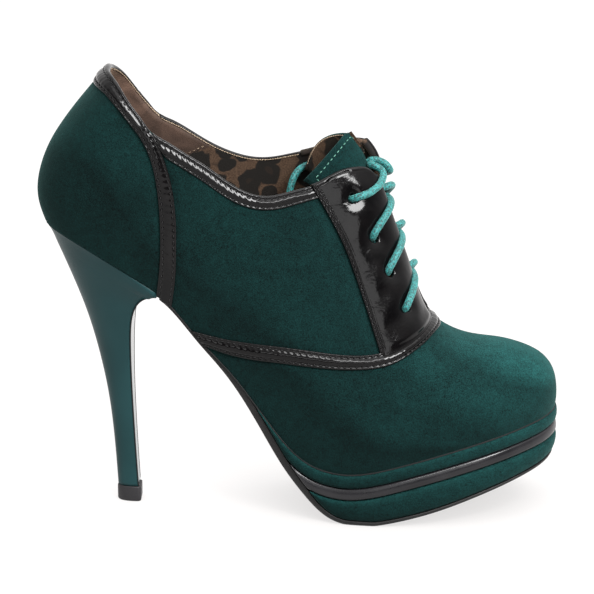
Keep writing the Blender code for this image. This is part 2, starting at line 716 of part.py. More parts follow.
for upper_ring, lower_ring in zip(rings, rings[1:]):
    for k in range(2 * PROFILE):
        faces.append([upper_ring[k], upper_ring[k + 1], lower_ring[k + 1], lower_ring[k]])
    faces.append([upper_ring[-1], upper_ring[0], lower_ring[0], lower_ring[-1]])
for ring in (rings[0], rings[-1]):
    for k in range(PROFILE):
        quad = [ring[k], ring[k + 1], ring[-2 - k], ring[-1 - k]]
        faces.append(quad[:3] if k == PROFILE - 1 else quad)
piece("heel", points, faces, COVER, 0.45)

# Top piece: the flat wearing tip under the heel
tip = HEEL[-1]
points = []
rings = []
for z, grow in ((0.0, -0.2), (0.6, 0.3), (TOP_PIECE, 0.3)):
    ring = []
    for k in range(2 * PROFILE + 1):
        side = -1 if k <= PROFILE else 1
        t = math.sin(math.pi / 2 * (1 - abs(k - PROFILE) / PROFILE))
        front = tip.breast_x + 0.6 + grow
        back = tip.back_x - grow
        ring.append(len(points))
        y = side * (tip.half_width + grow) * math.sqrt(max(0.0, 1 - t ** 2.2))
        points.append((front + (back - front) * t, y, z))
    rings.append(ring)
faces = []
for lower_ring, upper_ring in zip(rings, rings[1:]):
    for k in range(2 * PROFILE):
        faces.append([upper_ring[k], upper_ring[k + 1], lower_ring[k + 1], lower_ring[k]])
    faces.append([upper_ring[-1], upper_ring[0], lower_ring[0], lower_ring[-1]])
for ring in (rings[0], rings[-1]):
    for k in range(PROFILE):
        quad = [ring[k], ring[k + 1], ring[-2 - k], ring[-1 - k]]
        faces.append(quad[:3] if k == PROFILE - 1 else quad)
piece("top_piece", points, faces, RUBBER, 0.5)
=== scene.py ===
"""The looks of a right-foot lace-up platform boot with a slim heel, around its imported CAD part.

+X points to the toe, +Y to the inner (medial) side, +Z up. Sizes in the sections are in
millimetres and the meshes are in metres.
"""
import math
from collections import namedtuple

import bmesh
import bpy
import numpy as np
from mathutils import Matrix, Vector, kdtree, noise


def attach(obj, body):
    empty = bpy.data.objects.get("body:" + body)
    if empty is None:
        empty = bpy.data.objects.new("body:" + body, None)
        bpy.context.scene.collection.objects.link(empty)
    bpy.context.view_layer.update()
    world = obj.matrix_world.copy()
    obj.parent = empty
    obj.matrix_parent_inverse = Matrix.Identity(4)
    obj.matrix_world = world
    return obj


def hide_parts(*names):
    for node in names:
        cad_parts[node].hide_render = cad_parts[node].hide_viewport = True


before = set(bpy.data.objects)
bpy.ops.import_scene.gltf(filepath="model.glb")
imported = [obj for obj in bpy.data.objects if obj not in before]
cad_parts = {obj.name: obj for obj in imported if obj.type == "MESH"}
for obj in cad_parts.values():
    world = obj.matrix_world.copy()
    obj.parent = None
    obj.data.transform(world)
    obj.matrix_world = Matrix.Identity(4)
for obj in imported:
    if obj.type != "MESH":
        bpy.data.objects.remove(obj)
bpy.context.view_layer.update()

# Table, light and camera: a white sweep under large soft boxes, as for a catalogue picture.
# The camera faces the shoe's outer side from a metre off and 14 degrees up, with a long lens.
MM = 0.001
PICTURE_PX = 594
FOCAL_PX = 2200
SENSOR = 36.0
VIEW_TARGET = Vector((-0.0017, 0.0, 0.0961))
VIEW_DISTANCE = 1.0
VIEW_RISE = math.radians(14.0)
LAMP_TARGET = (0.0, 0.0, 0.1)
CONTACT_REACH = 0.05
scene = bpy.context.scene
scene.view_settings.view_transform = "Standard"


def aimed(ob, place, target):
    """Puts a lamp or camera at a place, looking at a target."""
    ob.location = place
    ob.rotation_euler = (Vector(target) - Vector(place)).to_track_quat("-Z", "Y").to_euler()
    scene.collection.objects.link(ob)
    return ob


lens = bpy.data.cameras.new("camera")
lens.sensor_width = SENSOR
lens.lens = SENSOR * FOCAL_PX / PICTURE_PX
stand = VIEW_TARGET + VIEW_DISTANCE * Vector((0.0, -math.cos(VIEW_RISE), math.sin(VIEW_RISE)))
scene.camera = aimed(bpy.data.objects.new("camera", lens), stand, VIEW_TARGET)

for name, place, wide, high, power in (("overhead_box", (0.1, -0.1, 1.3), 1.3, 1.0, 7.0),
                                       ("right_box", (0.60, -0.76, 0.86), 0.40, 0.52, 21.0),
                                       ("front_top", (0.20, -0.86, 1.04), 0.70, 0.22, 8.0),
                                       ("front_fill", (0.15, -1.15, 0.42), 1.30, 0.22, 2.6)):
    lamp = bpy.data.lights.new(name, "AREA")
    lamp.shape = "RECTANGLE"
    lamp.size, lamp.size_y, lamp.energy = wide, high, power
    aimed(bpy.data.objects.new(name, lamp), place, LAMP_TARGET)


def node(tree, kind, links=None, **settings):
    """A shader node with its settings, and its inputs linked to sockets or set to values."""
    made = tree.nodes.new(kind)
    for key, value in settings.items():
        setattr(made, key, value)
    for key, value in (links or {}).items():
        if isinstance(value, bpy.types.NodeSocket):
            tree.links.new(value, made.inputs[key])
        else:
            made.inputs[key].default_value = value
    return made


def finish(name, **constants):
    """A material with its shader's constant values, its node tree and its object coordinates."""
    made = bpy.data.materials.new(name)
    made.use_nodes = True
    tree = made.node_tree
    shader = tree.nodes["Principled BSDF"]
    for socket, value in constants.items():
        shader.inputs[socket.replace("_", " ")].default_value = value
    place = node(tree, "ShaderNodeTexCoord").outputs["Object"]
    return made, tree, shader, place


def speckle(tree, place, scale, detail=2.0, distortion=0.0):
    """Noise of a given number of lumps to the metre."""
    links = {"Vector": place, "Scale": scale, "Detail": detail, "Distortion": distortion}
    return node(tree, "ShaderNodeTexNoise", links).outputs["Fac"]


def spread(tree, value, low, high, to_low=0.0, to_high=1.0):
    """A value's range stretched to another one, and held inside it."""
    links = {"Value": value, "From Min": low, "From Max": high, "To Min": to_low, "To Max": to_high}
    return node(tree, "ShaderNodeMapRange", links).outputs["Result"]


def sums(tree, operation, first, second):
    return node(tree, "ShaderNodeMath", {0: first, 1: second}, operation=operation).outputs[0]


def vectors(tree, operation, first, second=(0.0, 0.0, 0.0), out="Vector"):
    return node(tree, "ShaderNodeVectorMath", {0: first, 1: second}, operation=operation).outputs[out]


def tinted(tree, share, first, second):
    """A colour between two colours, or colour sockets."""
    colours = [c if isinstance(c, bpy.types.NodeSocket) else (*c, 1.0) for c in (first, second)]
    made = node(tree, "ShaderNodeMix", {0: share, 6: colours[0], 7: colours[1]}, data_type="RGBA")
    return made.outputs[2]


def coloured(tree, shader, share, first, second):
    """Sets a shader's colour between two colours."""
    tree.links.new(tinted(tree, share, first, second), shader.inputs["Base Color"])


# The room is white overhead and behind the table, and dim behind the camera
sky = bpy.data.worlds.new("studio_room")
sky.use_nodes = True
tree = sky.node_tree
outlook = node(tree, "ShaderNodeTexCoord").outputs["Generated"]
way = node(tree, "ShaderNodeSeparateXYZ", {0: outlook}).outputs
ceiling = spread(tree, way["Z"], 0.25, 0.6)
wall_light = spread(tree, way["Y"], -0.6, 0.6, 0.05, 0.9)
light = node(tree, "ShaderNodeMix", {0: ceiling, 2: wall_light, 3: 1.15}).outputs[0]
tree.links.new(light, tree.nodes["Background"].inputs["Strength"])
tree.nodes["Background"].inputs["Color"].default_value = (1.0, 0.99, 0.985, 1.0)
scene.world = sky

table_top, tree, shader, place = finish("lit_white_sweep", Roughness=0.9, Specular_IOR_Level=0.1,
                                        Emission_Color=(1.0, 0.985, 0.98, 1.0))
coloured(tree, shader, speckle(tree, place, 3.0), (0.085, 0.082, 0.080), (0.09, 0.087, 0.085))
# The sweep glows. Its glow is lowered near the shoe where ambient occlusion finds it, a painted contact
# shadow, and raised far off to keep the distance white.
far_off = vectors(tree, "LENGTH", place, out="Value")
painted_contact_shade = node(tree, "ShaderNodeAmbientOcclusion", {"Distance": CONTACT_REACH}, samples=16).outputs["AO"]
glow_with_painted_shadow = sums(tree, "ADD", spread(tree, painted_contact_shade, 0.25, 0.9, 0.72, 0.93),
            spread(tree, far_off, 0.2, 0.9, 0.0, 0.06))
tree.links.new(glow_with_painted_shadow, shader.inputs["Emission Strength"])
form = bmesh.new()
bmesh.ops.create_grid(form, x_segments=4, y_segments=4, size=9.0)
floor_mesh = bpy.data.meshes.new("sweep")
form.to_mesh(floor_mesh)
form.free()
floor_mesh.materials.append(table_top)
floor = bpy.data.objects.new("sweep", floor_mesh)
scene.collection.objects.link(floor)

# Upper: dark green suede pulled over the last, one skin from the toe to the back seam, lasted
# under at the feather edge. It is open at the collar and throat, and the trims are sewn on it.
SUEDE_SKIN = 1.25
THROAT = 15.0
THROAT_ROW = 6.35
CENTRE_Y = -0.2
KEEL_ARCH = 2.1
Section = namedtuple("Section", "name crest_x crest_z keel_x keel_z widest half_width swing ridge arch")
SECTIONS = [Section(*row) for row in (
    ("nose",        118.0,  51.5,  118.0,  51.5, 0.50,  0.0,  5.0, 5.0, 2.2),
    ("toe round",   116.6,  60.0,  116.6,  43.0, 0.50, 10.5,  5.0, 5.0, 2.2),
    ("toe end",     112.5,  66.3,  112.0,  34.5, 0.50, 19.5,  4.6, 4.8, 2.2),
    ("toe cap",     105.0,  71.0,  103.5,  26.5, 0.51, 27.5,  4.0, 4.5, 2.2),
    ("toe box",      91.5,  74.8,   88.0,  19.0, 0.52, 35.5,  2.5, 4.0, 2.2),
    ("tread",        75.5,  77.6,   67.5,  13.0, 0.53, 40.5,  1.0, 3.0, 2.15),
    ("ball",         61.5,  85.5,   44.0,   5.0, 0.57, 42.5,  0.0, 2.0, 2.1),
    ("joint",        54.0,  96.5,   18.0,   1.0, 0.60, 42.0, -1.0, 1.5, 2.0),
    ("low instep",   48.0, 115.0,   -6.0,   8.0, 0.60, 38.0, -2.0, 1.0, 1.95),
    ("instep",       42.0, 134.0,  -28.0,  30.0, 0.60, 33.0, -2.5, 0.5, 1.9),
    ("high instep",  35.5, 153.0,  -48.0,  52.0, 0.60, 30.0, -2.0, 0.0, 1.9),
    ("waist",        29.0, 167.0,  -70.0,  70.0, 0.62, 28.5, -1.2, 0.0, 1.9),
    ("breast",       24.0, 177.5,  -90.0,  88.0, 0.66, 28.5, -0.5, 0.0, 1.9),
    ("heel seat",    18.0, 186.0, -104.5, 107.0, 0.70, 29.0,  0.0, 0.0, 2.0),
    ("heel corner",  11.0, 194.0, -112.5, 126.5, 0.70, 29.2,  0.0, 0.0, 2.0),
    ("heel bulge",    3.0, 203.5, -118.0, 145.0, 0.69, 28.6,  0.0, 0.0, 2.0),
    ("back",         -5.0, 215.0, -113.5, 165.0, 0.66, 26.6,  0.0, 0.0, 2.0),
    ("back collar", -12.5, 228.0, -101.5, 183.5, 0.60, 24.0,  0.0, 0.0, 2.0),
    ("back top",    -20.0, 242.0,  -86.0, 201.5, 0.50, 21.5,  0.0, 0.0, 2.0),
)]
LAST_ROW = len(SECTIONS) - 1
Sole = namedtuple("Sole", "x feather tread outsole")
SOLE = [Sole(*row) for row in (
    (-121.0, 133.5, 129.0, 1.2), (-110.0, 130.5, 126.0, 1.2), (-100.0, 126.2, 122.0, 1.2),
    (-84.0, 117.4, 113.0, 1.2), (-71.0, 109.3, 105.8, 1.2), (-61.0, 102.0, 99.6, 1.2),
    (-46.0, 83.8, 81.5, 1.1), (-36.0, 73.0, 69.6, 1.8), (-28.0, 63.8, 58.6, 2.8), (-16.0, 47.6, 38.2, 3.5),
    (-8.5, 37.8, 25.4, 3.7), (0.0, 29.6, 13.9, 3.4), (9.0, 25.3, 4.6, 2.7), (14.0, 24.3, 1.6, 2.4),
    (19.0, 23.9, 0.1, 2.2), (27.0, 24.6, -0.5, 2.0), (41.0, 27.8, 1.5, 1.9),
    (63.0, 33.5, 7.0, 1.8), (82.0, 38.3, 13.2, 1.7), (101.0, 42.5, 18.9, 1.6),
    (121.0, 46.4, 24.6, 1.5))]
Collar = namedtuple("Collar", "x lateral medial")
COLLAR = [Collar(*row) for row in (
    (-86.0, 201.5, 201.5), (-81.0, 197.3, 196.2), (-75.0, 189.2, 187.8), (-69.7, 182.2, 181.0),
    (-64.6, 176.0, 175.6), (-59.0, 172.4, 172.7), (-50.0, 166.7, 167.7), (-41.0, 160.9, 162.4),
    (-32.0, 154.2, 158.5), (-22.0, 148.8, 156.2), (-13.0, 147.6, 156.5), (-4.0, 149.4, 158.6),
    (6.0, 151.9, 161.4), (13.0, 155.0, 163.8), (20.0, 157.4, 165.9), (26.0, 157.6, 166.8),
    (30.0, 156.4, 166.2), (32.0, 154.5, 164.8), (34.0, 152.0, 162.2), (36.5, 148.4, 156.8),
    (44.0, 138.0, 141.0))]
Edge = namedtuple("Edge", "x z")
COUNTER_REAR = [Edge(*row) for row in (
    (-84.2, 191.3), (-79.1, 186.0), (-74.3, 180.0), (-70.2, 174.6), (-66.4, 167.4), (-63.2, 155.0),
    (-61.8, 140.0), (-61.6, 128.0), (-62.2, 115.5), (-63.7, 103.4))]
COUNTER_FRONT = [Edge(*row) for row in (
    (-64.6, 175.8), (-61.2, 169.0), (-57.8, 159.0), (-55.8, 149.0), (-54.8, 138.0),
    (-54.8, 124.5), (-55.4, 111.0), (-57.3, 98.2))]
VAMP_UPPER = [Edge(*row) for row in (
    (-48.4, 87.3), (-33.0, 84.0), (-21.0, 82.6), (-9.0, 81.6), (4.0, 80.2), (16.0, 78.8),
    (28.0, 78.4), (40.0, 80.2), (48.5, 83.3), (55.5, 86.8))]
VAMP_LOWER = [Edge(*row) for row in (
    (-42.4, 80.2), (-30.0, 76.6), (-20.0, 75.2), (-9.0, 74.4), (1.5, 73.4), (11.5, 72.6),
    (28.0, 72.4), (40.0, 74.2), (50.0, 78.4), (59.0, 83.0))]
FACING_REAR = [Edge(*row) for row in (
    (-3.0, 165.0), (3.0, 154.5), (10.2, 142.0), (15.7, 132.0), (20.3, 122.0), (24.0, 112.0),
    (28.8, 98.0), (34.5, 80.5), (36.0, 76.0))]
FACING_FRONT = [Edge(*row) for row in (
    (0.0, 166.0), (5.6, 156.0), (14.0, 141.0), (20.4, 129.0), (24.7, 119.0), (28.8, 107.5),
    (33.0, 94.5), (37.5, 80.5), (39.0, 76.0))]
EYELETS = [Edge(*row) for row in ((22.6, 145.2), (31.9, 127.7), (38.6, 112.3), (46.4, 96.6))]
MEDIAL_EYELET_LIFT = (2.0, 1.0, -1.0, -2.0)
EYELET_LEAN = 0.4
FLARE = 5.5
FLARE_ROW, FLARE_ROWS = 10.8, 0.95
FLARE_TURN, FLARE_TURNS = 0.35, 0.45


def drawn_curve(knots, values):
    """A smooth curve through values, which may be rows of numbers, for any array of places."""
    x = np.asarray(knots, float)
    y = np.asarray(values, float)
    single = y.ndim == 1
    y = y.reshape(len(x), -1)
    h = np.diff(x)
    matrix = np.eye(len(x))
    right = np.zeros_like(y)
    for i in range(1, len(x) - 1):
        matrix[i, i - 1:i + 2] = h[i - 1], 2 * (h[i - 1] + h[i]), h[i]
        right[i] = 6 * ((y[i + 1] - y[i]) / h[i] - (y[i] - y[i - 1]) / h[i - 1])
    bend = np.linalg.solve(matrix, right)

    def at(t):
        t = np.asarray(t, float)
        i = np.clip(np.searchsorted(x, t) - 1, 0, len(x) - 2)
        gap = h[i][..., None]
        a = (x[i + 1] - t)[..., None]
        b = (t - x[i])[..., None]
        value = (bend[i] * a ** 3 + bend[i + 1] * b ** 3) / (6 * gap)
        value = value + (y[i] / gap - bend[i] * gap / 6) * a
        value = value + (y[i + 1] / gap - bend[i + 1] * gap / 6) * b
        return value[..., 0] if single else value
    return at


def meet(test, low, high):
    """Where test, above zero at low, stops being so on the way to high."""
    low, high = np.array(low, float), np.array(high, float)
    for _ in range(40):
        middle = (low + high) / 2
        above = test(middle) > 0
        low, high = np.where(above, middle, low), np.where(above, high, middle)
    return (low + high) / 2


section_at = drawn_curve(range(len(SECTIONS)), [row[1:] for row in SECTIONS])
feather_z = drawn_curve([row.x for row in SOLE], [row.feather for row in SOLE])
collar_z = {-1: drawn_curve([row.x for row in COLLAR], [row.lateral for row in COLLAR]),
            1: drawn_curve([row.x for row in COLLAR], [row.medial for row in COLLAR])}


def last_point(row, turn):
    """The upper's outside: turn is 0 at the crest and pi at the keel or back seam."""
    crest_x, crest_z, keel_x, keel_z, widest, half, swing, ridge, arch = np.moveaxis(section_at(row), -1, 0)
    cosine, sine = np.cos(turn), np.sin(turn)
    power = np.where(cosine > 0, 2 / arch, 2 / KEEL_ARCH)
    reach = np.abs(cosine) ** power
    share = np.where(cosine > 0, widest * (1 - reach), widest + (1 - widest) * reach)
    side = np.where(sine >= 0, 1, -1)
    y = ridge + (swing + side * half - ridge) * np.abs(sine) ** power - CENTRE_Y
    off_row, off_turn = (row - FLARE_ROW) / FLARE_ROWS, (turn - FLARE_TURN) / FLARE_TURNS
    x = crest_x + share * (keel_x - crest_x) + FLARE * np.exp(-off_row ** 2 - off_turn ** 2)
    return np.stack((x, y, crest_z + share * (keel_z - crest_z)), -1)


def last_normal(row, turn, step=0.02):
    """The way out of the upper's outside."""
    at = np.clip(row, 0.06, LAST_ROW - step)
    along = last_point(at + step, turn) - last_point(at - step, turn)
    across = last_point(at, turn + step) - last_point(at, turn - step)
    out = np.cross(across, along)
    return out / np.linalg.norm(out, axis=-1, keepdims=True)


def on_last(row, turn, height):
    return last_point(row, turn) + last_normal(row, turn) * np.asarray(height)[..., None]


def bottom_turn(row):
    """The turn at which a section meets the feather line, or pi where it closes above it."""
    def above(turn):
        p = last_point(row, turn)
        return p[..., 2] - feather_z(p[..., 0])
    keel = np.full(np.shape(row), math.pi)
    return np.where(above(keel) >= 0, keel, meet(above, keel / 2, keel))


def collar_turn(row, side):
    """The turn at which a section meets the collar's edge, or 0 where it stays below it."""
    def above(turn):
        p = last_point(row, side * turn)
        return p[..., 2] - collar_z[side](p[..., 0])
    crest, keel = np.zeros(np.shape(row)), np.full(np.shape(row), math.pi)
    edge = np.where(above(keel) > 0, keel, meet(above, crest, keel))
    return np.where(above(crest) <= 0, crest, edge)


def throat_turn(row, side):
    """The turn at which a section is half the throat's gap from its ridge."""
    half, swing, ridge, arch = np.moveaxis(section_at(row)[..., 5:], -1, 0)
    width = np.maximum(np.abs(swing + side * half - ridge), 0.1)
    return np.arcsin(np.minimum(1.0, THROAT / 2 / width) ** (arch / 2))


def locate(x, z, side):
    """Rows and turns of places given in side view."""
    x, z = np.asarray(x, float), np.asarray(z, float)

    def behind(row):
        crest_x, crest_z, keel_x, keel_z = np.moveaxis(section_at(row)[..., :4], -1, 0)
        return (keel_z - crest_z) * (x - crest_x) - (keel_x - crest_x) * (z - crest_z)
    row = meet(behind, np.full(x.shape, 3.0), np.full(x.shape, float(LAST_ROW)))
    crest_x, crest_z, keel_x, keel_z, widest = np.moveaxis(section_at(row)[..., :5], -1, 0)
    arch = section_at(row)[..., 8]
    share = np.hypot(x - crest_x, z - crest_z) / np.hypot(keel_x - crest_x, keel_z - crest_z)
    near = np.arccos(np.clip(1 - share / widest, 0, 1) ** (arch / 2))
    far = math.pi - np.arccos(np.clip((share - widest) / (1 - widest), 0, 1) ** (KEEL_ARCH / 2))
    return np.stack((row, side * np.where(share < widest, near, far)), -1)


def way_along(points):
    """The distance run at each point of a line."""
    return np.concatenate(([0.0], np.cumsum(np.linalg.norm(np.diff(points, axis=0), axis=1))))


def marked(edges, side):
    """A pattern line's rows and turns on one side, a millimetre apart."""
    run = way_along(np.array(edges))
    x, z = drawn_curve(run, edges)(np.linspace(0, run[-1], int(run[-1]) + 2)).T
    return locate(x, z, side)


def resample(marks, count, middle=-1):
    """Evenly spaced rows and turns along a pattern line, on each side of one of its marks."""
    run = way_along(last_point(*marks.T))
    places = np.linspace(0, run[middle], count)
    if run[middle] < run[-1]:
        places = np.concatenate((places, np.linspace(run[middle], run[-1], count)[1:]))
    return drawn_curve(run, marks)(places)


def sheet(along, across):
    """A flat grid, with each vertex's number along and across it."""
    form = bmesh.new()
    bmesh.ops.create_grid(form, x_segments=along, y_segments=across, size=0.5)
    share = np.array([(v.co.x + 0.5, v.co.y + 0.5) for v in form.verts])
    return form, *np.rint(share * (along, across)).astype(int).T


def lay(form, points):
    """Moves a form's vertices to places given in millimetres."""
    for vertex, point in zip(form.verts, points):
        vertex.co = point * MM


def ripple(points, size, seed):
    """Smooth unevenness between about -1 and 1, with lumps of a size in millimetres."""
    shift = Vector((seed * 7.3, seed * 3.1, seed * 5.7))
    return np.array([noise.noise(Vector(p) / size + shift) for p in points])


def made_piece(form, name, finishes, stands_for=None, closed=True):
    """A finished piece from a form: doubles merged, faces outwards, riding on the shoe."""
    bmesh.ops.remove_doubles(form, verts=form.verts, dist=1e-6)
    bmesh.ops.dissolve_degenerate(form, edges=form.edges, dist=1e-6)
    if closed:
        bmesh.ops.holes_fill(form, edges=form.edges, sides=0)
        bmesh.ops.recalc_face_normals(form, faces=form.faces)
    for face in form.faces:
        face.smooth = True
    mesh = bpy.data.meshes.new(name)
    form.to_mesh(mesh)
    form.free()
    for each in finishes:
        mesh.materials.append(each)
    made = bpy.data.objects.new(name, mesh)
    scene.collection.objects.link(made)
    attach(made, "root")
    if stands_for:
        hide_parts(stands_for)
    return made


def walled(made, thickness, inside=0):
    """Gives a sheet its thickness, inwards."""
    wall = made.modifiers.new("thickness", "SOLIDIFY")
    wall.thickness = thickness * MM
    wall.offset = -1.0
    wall.material_offset = inside


ROWS = np.concatenate((np.linspace(0, 1, 15)[:-1], np.linspace(1, 3, 22)[:-1], np.linspace(3, 6, 46)[:-1],
                       np.linspace(6, 17, 150)[:-1], np.linspace(17, LAST_ROW, 28)))
THROAT_COLUMNS = 8
HOLES = {}
for side in (-1, 1):
    lift = np.array(MEDIAL_EYELET_LIFT) * (side > 0)
    x, z = np.array(EYELETS).T
    HOLES[side] = locate(x - EYELET_LEAN * lift, z + lift, side)


def upper_skin(columns, opening):
    """A layer of the upper: its grid, and rows and turns of the vertices, without throat and holes."""
    across = 2 * columns + THROAT_COLUMNS
    form, i, j = sheet(len(ROWS) - 1, across)
    low = bottom_turn(ROWS)
    rise = np.minimum(1.0, ROWS / 3.0)
    edge = {}
    for side in (-1, 1):
        closed = rise * throat_turn(np.maximum(ROWS, 2.0), side) + (1 - rise) * 0.7
        opened = np.minimum(low, np.maximum(collar_turn(ROWS, side), throat_turn(ROWS, side)))
        edge[side] = np.where(ROWS < THROAT_ROW, closed, opened)[i]
    low = low[i]
    lateral = -low + (low - edge[-1]) * np.minimum(j / columns, 1)
    middle = -edge[-1] + (edge[-1] + edge[1]) * (j - columns) / THROAT_COLUMNS
    medial = edge[1] + (low - edge[1]) * np.maximum(j - columns - THROAT_COLUMNS, 0) / columns
    turn = np.select([j <= columns, j < columns + THROAT_COLUMNS], [lateral, middle], medial)
    row = ROWS[i]
    points = last_point(row, turn)
    holes = np.concatenate([last_point(*HOLES[side].T) for side in (-1, 1)])
    doomed = []
    form.verts.index_update()
    for face in form.faces:
        corners = [v.index for v in face.verts]
        in_throat = columns <= j[corners].min() and j[corners].max() <= columns + THROAT_COLUMNS
        near_hole = np.linalg.norm(points[corners].mean(0) - holes, axis=1).min() < opening
        if near_hole or in_throat and ROWS[i[corners].min()] >= THROAT_ROW:
            doomed.append(face)
    return form, row, turn, doomed


def dressed(form, points, doomed):
    """Lays a skin on the last, outside out, and takes out its throat and holes."""
    lay(form, points)
    bmesh.ops.delete(form, geom=doomed, context="FACES")
    bmesh.ops.reverse_faces(form, faces=form.faces)


# The trims press a little into the soft suede under and beside them
PRESS, PRESS_REACH, PRESS_SLOPE = 0.35, 7.0, 3.8
TRIM_EDGES = (COUNTER_REAR, COUNTER_FRONT), (VAMP_UPPER, VAMP_LOWER), (FACING_REAR, FACING_FRONT)
pressed = []
for side in (-1, 1):
    for first, second in TRIM_EDGES:
        middle = (resample(marked(first, side), 90) + resample(marked(second, side), 90)) / 2
        pressed.extend(last_point(*middle.T))
trims = kdtree.KDTree(len(pressed))
for k, point in enumerate(pressed):
    trims.insert(point, k)
trims.balance()

# Painted light on the suede: surfaces are painted paler or darker by how far they face this way, within
# this range, in place of the lamps' light and shade.
PAINTED_LIGHT_WAY = (0.45, 0.0, 0.9)
PAINTED_LIGHT_RANGE = -1.0, 1.5
NAP_TONES = 0.06, 2.05
SUEDE_HUE = 0.16, 1.0, 0.96


def weighed(tree, *pairs):
    """The sum of values, each times its weight."""
    total = 0.0
    for value, weight in pairs:
        links = {0: value, 1: weight, 2: total}
        total = node(tree, "ShaderNodeMath", links, operation="MULTIPLY_ADD").outputs[0]
    return total


def raised(tree, shader, height, strength, depth):
    """Bump of a depth in millimetres on a shader."""
    links = {"Height": height, "Strength": strength, "Distance": depth * MM}
    tree.links.new(node(tree, "ShaderNodeBump", links).outputs["Normal"], shader.inputs["Normal"])


def suede_finish(name, painted_shading):
    """Green suede with painted light and shade: paler where the surface faces up and forward and at the
    toe, darker where it faces down and back; pairs of how far it faces so and of green.
    """
    made, tree, shader, place = finish(name, Roughness=0.95, Specular_IOR_Level=0.08, Sheen_Weight=0.10,
                                       Sheen_Roughness=0.45, Sheen_Tint=(0.3, 0.75, 0.70, 1.0))
    cloud = spread(tree, speckle(tree, place, 38.0, 4.0, 0.5), 0.32, 0.68)
    stroke = spread(tree, speckle(tree, place, 260.0, 4.0, 0.6), 0.3, 0.7)
    nap = speckle(tree, place, 1900.0, 3.0)
    share = weighed(tree, (cloud, 0.15), (stroke, 0.20), (spread(tree, nap, 0.3, 0.7), 0.65))
    # Painted highlight and shade: the colour ramp reads how far the surface faces up and forward, plus a
    # paler toe end. The top and toe are painted lighter and the sides and underside darker.
    outward = node(tree, "ShaderNodeTexCoord").outputs["Normal"]
    lean = vectors(tree, "DOT_PRODUCT", outward, PAINTED_LIGHT_WAY, "Value")
    forward = node(tree, "ShaderNodeSeparateXYZ", {0: place}).outputs["X"]
    lean = sums(tree, "ADD", lean, spread(tree, forward, 0.05, 0.11, 0.0, 0.45))
    low, high = PAINTED_LIGHT_RANGE
    ramp = node(tree, "ShaderNodeValToRGB", {0: spread(tree, lean, low, high)})
    stops = ramp.color_ramp.elements
    while len(stops) < len(painted_shading):
        stops.new(0.5)
    for stop, (facing, green) in zip(stops, painted_shading):
        stop.position = (facing - low) / (high - low)
        stop.color = (*(part * green for part in SUEDE_HUE), 1.0)
    dark, light = (vectors(tree, "MULTIPLY", ramp.outputs["Color"], (k, k, k)) for k in NAP_TONES)
    coloured(tree, shader, share, dark, light)
    raised(tree, shader, weighed(tree, (nap, 1.0), (stroke, 0.6)), 0.4, 0.3)
    return made


# Painted light and shade of the upper's suede: the green for each amount of facing up and forward.
suede = suede_finish("green_suede", (
    (-0.35, 0.0088), (-0.18, 0.0078), (-0.04, 0.0060), (0.08, 0.0116), (0.25, 0.0102), (0.38, 0.0122),
    (0.70, 0.0180), (1.0, 0.0155), (1.10, 0.0240), (1.22, 0.0360)))
form, row, turn, doomed = upper_skin(columns=64, opening=2.9)
flat = last_point(row, turn)
press = np.array([trims.find(Vector(p))[2] for p in flat])
dent = -PRESS * np.clip((PRESS_REACH - press) / PRESS_SLOPE, 0, 1) ** 2
dressed(form, on_last(row, turn, dent + 0.12 * ripple(flat, size=16.0, seed=1)), doomed)
upper = made_piece(form, "upper_suede", [suede], "upper", closed=False)
walled(upper, SUEDE_SKIN)

# Lining: spotted woven cloth inside the quarters and vamp, with a bronze suede heel grip sewn in at
# the back. It is glued to the suede's inner face and ends under the collar's binding.
WALL = 2.0
LINING_SKIN = 0.6
(GRIP_LOW_X, GRIP_LOW_Z), (GRIP_HIGH_X, GRIP_HIGH_Z) = (-65.5, 150.0), (-36.0, 164.0)
GRIP_BOTTOM = 108.0
GRIP_STITCH = 2.4
SPOT_WANDER = (0.011, 0.011, 0.011)

cloth, tree, shader, place = finish("spotted_lining", Roughness=0.75, Specular_IOR_Level=0.25,
                                    Sheen_Weight=0.15, Sheen_Tint=(0.9, 0.75, 0.5, 1.0))
wander = node(tree, "ShaderNodeTexNoise", {"Vector": place, "Scale": 95.0, "Detail": 2.0}).outputs["Color"]
bent = vectors(tree, "ADD", place, vectors(tree, "MULTIPLY", wander, SPOT_WANDER))
spots = node(tree, "ShaderNodeTexVoronoi", {"Vector": bent, "Scale": 80.0, "Randomness": 0.85})
blot = spread(tree, spots.outputs["Distance"], 0.55, 0.50)
heart = spread(tree, spots.outputs["Distance"], 0.22, 0.15)
weave = speckle(tree, place, 1500.0)
tan = tinted(tree, spread(tree, weave, 0.3, 0.7), (0.033, 0.0175, 0.0100), (0.074, 0.043, 0.026))
dark = tinted(tree, heart, (0.003, 0.0022, 0.002), (0.009, 0.005, 0.0035))
coloured(tree, shader, blot, tan, dark)
raised(tree, shader, weave, 0.4, 0.2)

grip, tree, shader, place = finish("bronze_suede", Roughness=0.7, Specular_IOR_Level=0.25, Sheen_Weight=0.4,
                                   Sheen_Roughness=0.4, Sheen_Tint=(0.9, 0.62, 0.42, 1.0))
brushed = spread(tree, speckle(tree, place, 90.0, 4.0, 0.8), 0.3, 0.7)
fluff = speckle(tree, place, 1800.0)
# Painted shade: the grip's colour is darker lower down inside the boot, where the inside is shaded, down to
# the insole.
height = node(tree, "ShaderNodeSeparateXYZ", {0: place}).outputs["Z"]
share = sums(tree, "MULTIPLY", weighed(tree, (brushed, 0.6), (fluff, 0.4)),
             spread(tree, height, 0.158, 0.188, 0.35, 1.5))
coloured(tree, shader, share, (0.018, 0.0105, 0.0075), (0.120, 0.072, 0.052))
raised(tree, shader, fluff, 0.35, 0.2)


